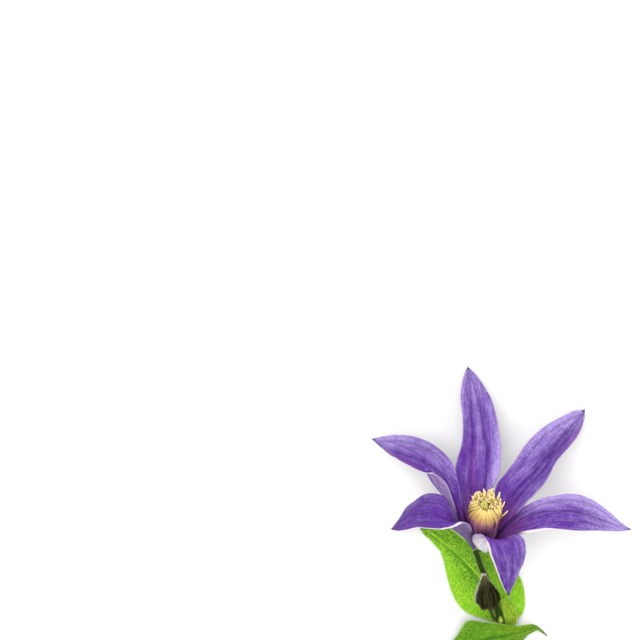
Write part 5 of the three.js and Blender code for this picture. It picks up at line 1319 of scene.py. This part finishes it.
def make_small(name, source, pts, skin, ribs, seed, leafy=False):
    names = ["around", "run", "joint", "fresh", "pith", "heart", "hair", "along", "valley", "seam", "crest", "vein", "valley2", "pale", "outer", "rim", "tip", "span", "shade"]
    shape = Shape(names)
    pts = np.array(pts, float)
    n, sides = 60, 24
    t = np.linspace(0, len(pts) - 1, n + 1)
    c = spline(pts[:, :3], t)
    r = np.maximum(spline(pts[:, 3:4], t)[:, 0], 0.04)
    run = np.concatenate([[0], np.cumsum(np.linalg.norm(np.diff(c, axis=0), axis=1))])
    ang = np.arange(sides) * 2 * math.pi / sides
    A, R = np.meshgrid(ang, run)
    k = 1 + 0.06 * np.cos(ribs * A) + 0.03 * noise(A * 4, R * 2, seed)
    rings = tube(c, r[:, None] * k, sides)
    faces = ring_faces(n + 1, sides) + [tuple(range(sides))[::-1], tuple(n * sides + j for j in range(sides))]
    shape.add(rings.reshape(-1, 3), faces, around=A.ravel(), run=R.ravel(), fresh=0.2, along=(R / run[-1]).ravel(), span=(A * 0.6).ravel(),
              vein=(0.5 + 0.5 * np.cos(ribs * A)).ravel() * 0.8)
    r5 = np.random.default_rng(seed)
    for kk in range(260):
        i = int(r5.integers(2, n - 1))
        j = int(r5.integers(0, sides))
        o = unit(rings[i, j] - c[i])
        hair(shape, rings[i, j] - o * 0.02, o + r5.normal(0, 0.35, 3), r5.uniform(0.12, 0.34), 0.013, r5.normal(0, 0.2, 3), steps=2, hair=1.0, pale=1.0)
    return shape.make(name, skin, [source])


# both spring from the node; the stalk runs on into the bud
make_small("bud_stalk_skin", "bud_stalk", [[-0.7, -18.6, 3.7, 0.62]] + [list(p) for p in BUD_STALK] + [[-3.75, -14.75, 10.6, 0.55], [-3.95, -13.9, 11.1, 0.5]],
           STEM_SKIN, 5, 31)
make_small("node_bud_skin", "node_bud", [[-0.1, -19.0, 4.2, 0.45]] + [list(p) for p in NODE_BUD], LEAF_YOUNG_SKIN, 4, 32)


# ---- leaves --------------------------------------------------------------------
LEAF_VALUES = ["run", "span", "outer", "rim", "tip", "vein", "valley", "shade", "pale", "olive_shade"]


def leaf_lines(pairs):
    """Main veins that leave the base, bow out and meet again at the tip."""
    out = []
    for bow, strength in pairs:
        s = np.linspace(0, 1, 15)
        out.append(([(float(x), 0.5 + bow * float(np.sin(math.pi * min(1.0, x * 1.02) ** 0.75)) ** 0.8) for x in s], strength))
    return out


def side_veins(S, W, width, count, slope, seed):
    """Veins that climb from the midrib towards the margin."""
    d = np.abs(W - 0.5) * 2
    wob = 0.10 * noise(S * 14, W * 9, seed + 2) + 0.05 * noise(S * 30, W * 20, seed + 5)
    phase = (S * count - d**0.85 * slope + 0.25 * noise(S * 3, (W > 0.5) * 5.0, seed) + (W > 0.5) * 0.45 + wob)
    near = np.abs(phase - np.round(phase))
    return bell(near, width) * ramp(d, 0.0, 0.08) * ramp(1.0 - d, 0.02, 0.3)


def make_leaf(name, table, skin, ns, nw, bows, thick, seed, shade, pale, olive_shade=None, rib=0.30, side=(7, 2.2), edge_turn=(0.12, -0.4), lit=-1):
    lines = leaf_lines(bows)
    mid = [([(0, 0.5), (1, 0.5)], 1.0)]
    if name == "leaf_young":
        # its far margin draws in towards the point
        table = np.asarray(table, float).reshape(-1, 5, 3).copy()
        for k, share in ((0, 0.0), (1, 0.15), (3, 0.12), (4, 0.34)):
            table[k, 4] += (table[k, 2] - table[k, 4]) * share
            table[k, 3] += (table[k, 2] - table[k, 3]) * share * 0.8
        table = table.reshape(len(table), 15)

    def relief(S, W, m):
        fade = ramp(1 - S, 0.0, 0.12)
        g = lines_near(mid, S, W, 0.022) * 1.0
        g2 = lines_near(lines, S, W, 0.02)
        g3 = side_veins(S, W, 0.06, side[0], side[1], seed)
        rise = -rib * np.maximum(g, 0.75 * g2) * fade - 0.15 * g3 * fade
        rise = rise + 0.20 * bell(np.abs(W - 0.5) - 0.07, 0.05) * fade
        rise = rise + 0.22 * fractal(S * 7, W * 5, seed) * fade
        rise = rise + 0.07 * fractal(S * 26, W * 16, seed + 3) * fade
        edge = np.minimum(W, 1 - W)
        rise = rise + 0.25 * ramp(0.2 - edge, 0, 0.2) * noise(S * 9, W * 2, seed + 7) * fade
        z = m[..., 2] + rise
        return np.where(z < 0.35, rise + np.minimum(0.35 - z, 0.4), rise)

    def half(S, W):
        rib_ = np.maximum(lines_near(mid, S, W, 0.03), 0.5 * lines_near(lines, S, W, 0.022))
        return (thick + 0.16 * rib_ * ramp(1 - S, 0, 0.4)) * (0.4 + 0.6 * ramp(1 - S, 0, 0.05))

    def values(S, Q, O):
        W = np.clip(Q, 0, 1)
        beyond = np.maximum(-Q, Q - 1)
        rim = np.where(np.abs(O - 0.5) < 0.1, 1.0, 0.0)
        rim = np.maximum(rim, ramp(beyond, -0.004, 0.03))
        v = np.maximum(1.2 * lines_near(mid, S, W, 0.021 * (1 + 1.6 * ramp(S, 0.5, 0.85))), 0.55 * lines_near(lines, S, W, 0.013))
        v = np.maximum(v, 0.5 * side_veins(S, W, 0.04, side[0], side[1], seed))
        # painted shade: beside each vein, shifted to the side away from the light
        vein_side_shade = np.maximum(lines_near(mid, S, W - 0.055 * lit, 0.04), 0.6 * lines_near(lines, S, W - 0.03 * lit, 0.028))
        vein_side_shade = np.maximum(vein_side_shade, 0.5 * side_veins(S, W - 0.01 * lit, 0.10, side[0], side[1], seed))
        return {"outer": O, "rim": rim, "tip": ramp(S, 0.965, 0.99), "vein": v, "valley": vein_side_shade, "shade": shade(S, W), "pale": pale(S, W),
                "olive_shade": olive_shade(S, W) if olive_shade else 0.0 * S}

    ring, faces, vals, m, nor = blade(table, -1, ns, nw, half, relief,
                                      {0: (still(edge_turn[0]), edge_turn[1]), 1: (still(edge_turn[0]), edge_turn[1])},
                                      lambda s: np.full_like(s, 0.1) * (0.4 + 0.6 * ramp(1 - s, 0, 0.05)), values)
    ring[..., 2] = np.maximum(ring[..., 2], 0.02)
    shape = Shape(LEAF_VALUES)
    shape.add(ring.reshape(-1, 3), faces, **vals)
    r = np.random.default_rng(seed)
    for k in range(160):
        i = int(r.integers(6, ring.shape[0] - 4))
        side_ = r.integers(0, 2)
        at = m[i, 0] if side_ == 0 else m[i, -1]
        lat = unit(m[i, 0] - m[i, 2]) if side_ == 0 else unit(m[i, -1] - m[i, -3])
        hair(shape, at, lat * r.uniform(0.5, 1.0) + r.normal(0, 0.3, 3) + np.array([0, 0, 0.25]), r.uniform(0.12, 0.28), 0.012,
             r.normal(0, 0.2, 3), steps=2, rim=1.0, pale=1.0)
    return shape.make(name + "_tissue", skin, [name])


make_leaf("leaf_large", LEAF_LARGE, LEAF_LARGE_SKIN, 190, 110, [(-0.27, 0.8), (0.27, 0.8), (-0.40, 0.45), (0.40, 0.45)], 0.13, 11,
          shade=lambda S, W: np.clip(1.1 * bell(W - 0.37, 0.11) * ramp(S, 0.22, 0.42) + 0.66 * ramp(W, 0.46, 0.58) * ramp(S, 0.34, 0.5)
                                     + 0.12 * ramp(S, 0.6, 0.85), 0, 0.95),
          pale=lambda S, W: ramp(W, 0.95, 1.0) * ramp(S, 0.5, 0.62) * 0.85 + ramp(W, 0.03, 0.0) * 0.3)
make_leaf("leaf_lower", LEAF_LOWER, LEAF_LOWER_SKIN, 190, 110, [(-0.26, 0.8), (0.26, 0.8), (-0.40, 0.45), (0.40, 0.45)], 0.13, 12,
          shade=lambda S, W: 0.25 * ramp(W, 0.4, 0.9) + 0.2 * bell(W - 0.5, 0.08),
          pale=lambda S, W: (ramp(W, 0.04, 0.0) * ramp(S, 0.1, 0.3) * ramp(1 - S, 0.35, 0.55)) * 0.6,
          olive_shade=lambda S, W: ramp(S, 0.52, 0.66) * 0.9)
make_leaf("leaf_young", LEAF_YOUNG, LEAF_YOUNG_SKIN, 90, 60, [(-0.22, 0.8), (0.22, 0.8)], 0.12, 13,
          shade=lambda S, W: 0.85 * np.clip(0.4 + 0.9 * np.sin(W * 30 + 1.2 * np.sin(S * 7)), 0, 1) * ramp(S, 1.0, 0.05),
          pale=lambda S, W: 0 * S, rib=0.12, side=(5, 1.4))

# ---- camera, light and floor ---------------------------------------------------
camera_data = bpy.data.cameras.new("camera")
camera_data.type = "PERSP"
camera_data.sensor_width = 36
camera_data.lens = 180
camera_data.clip_start, camera_data.clip_end = 0.05, 10
camera = bpy.data.objects.new("camera", camera_data)
camera.location = (CAMERA_XY[0] * MM, CAMERA_XY[1] * MM, 0.975)
camera.rotation_euler = (0, 0, 0)
bpy.context.scene.collection.objects.link(camera)
bpy.context.scene.camera = camera


def floor_material():
    m = Nodes("floor_paper")
    n = m.noise(m.place(), 0.02, 3.0, 0.5)
    return m.finish(m.mix(n, (0.86, 0.86, 0.86, 1), (0.9, 0.9, 0.9, 1)), 0.8, specular=0.1)


floor_mesh = bpy.data.meshes.new("floor")
floor_mesh.from_pydata([(-3, -3, 0), (3, -3, 0), (3, 3, 0), (-3, 3, 0)], [], [(0, 1, 2, 3)])
floor = bpy.data.objects.new("floor", floor_mesh)
floor_mesh.materials.append(floor_material())
bpy.context.scene.collection.objects.link(floor)


def area_light(name, place, aim, size, power, colour=(1, 1, 1)):
    data = bpy.data.lights.new(name, "AREA")
    data.shape = "SQUARE"
    data.size = size
    data.energy = power
    data.color = colour
    o = bpy.data.objects.new(name, data)
    o.location = place
    d = Vector(aim) - Vector(place)
    o.rotation_euler = d.to_track_quat("-Z", "Y").to_euler()
    bpy.context.scene.collection.objects.link(o)
    return o


area_light("key", (-0.22, 0.16, 1.05), (0, 0, 0.01), 0.7, 7.0, (1.0, 0.99, 0.97))
area_light("fill", (0.3, -0.45, 0.9), (0, 0, 0.01), 0.8, 4.0, (1.0, 0.99, 0.98))
world = bpy.data.worlds.new("studio")
world.use_nodes = True
world.node_tree.nodes["Background"].inputs["Color"].default_value = (1, 1, 1, 1)
world.node_tree.nodes["Background"].inputs["Strength"].default_value = 0.74
bpy.context.scene.world = world
bpy.context.scene.view_settings.view_transform = "Standard"
bpy.context.scene.view_settings.look = "None"

bpy.context.view_layer.update()
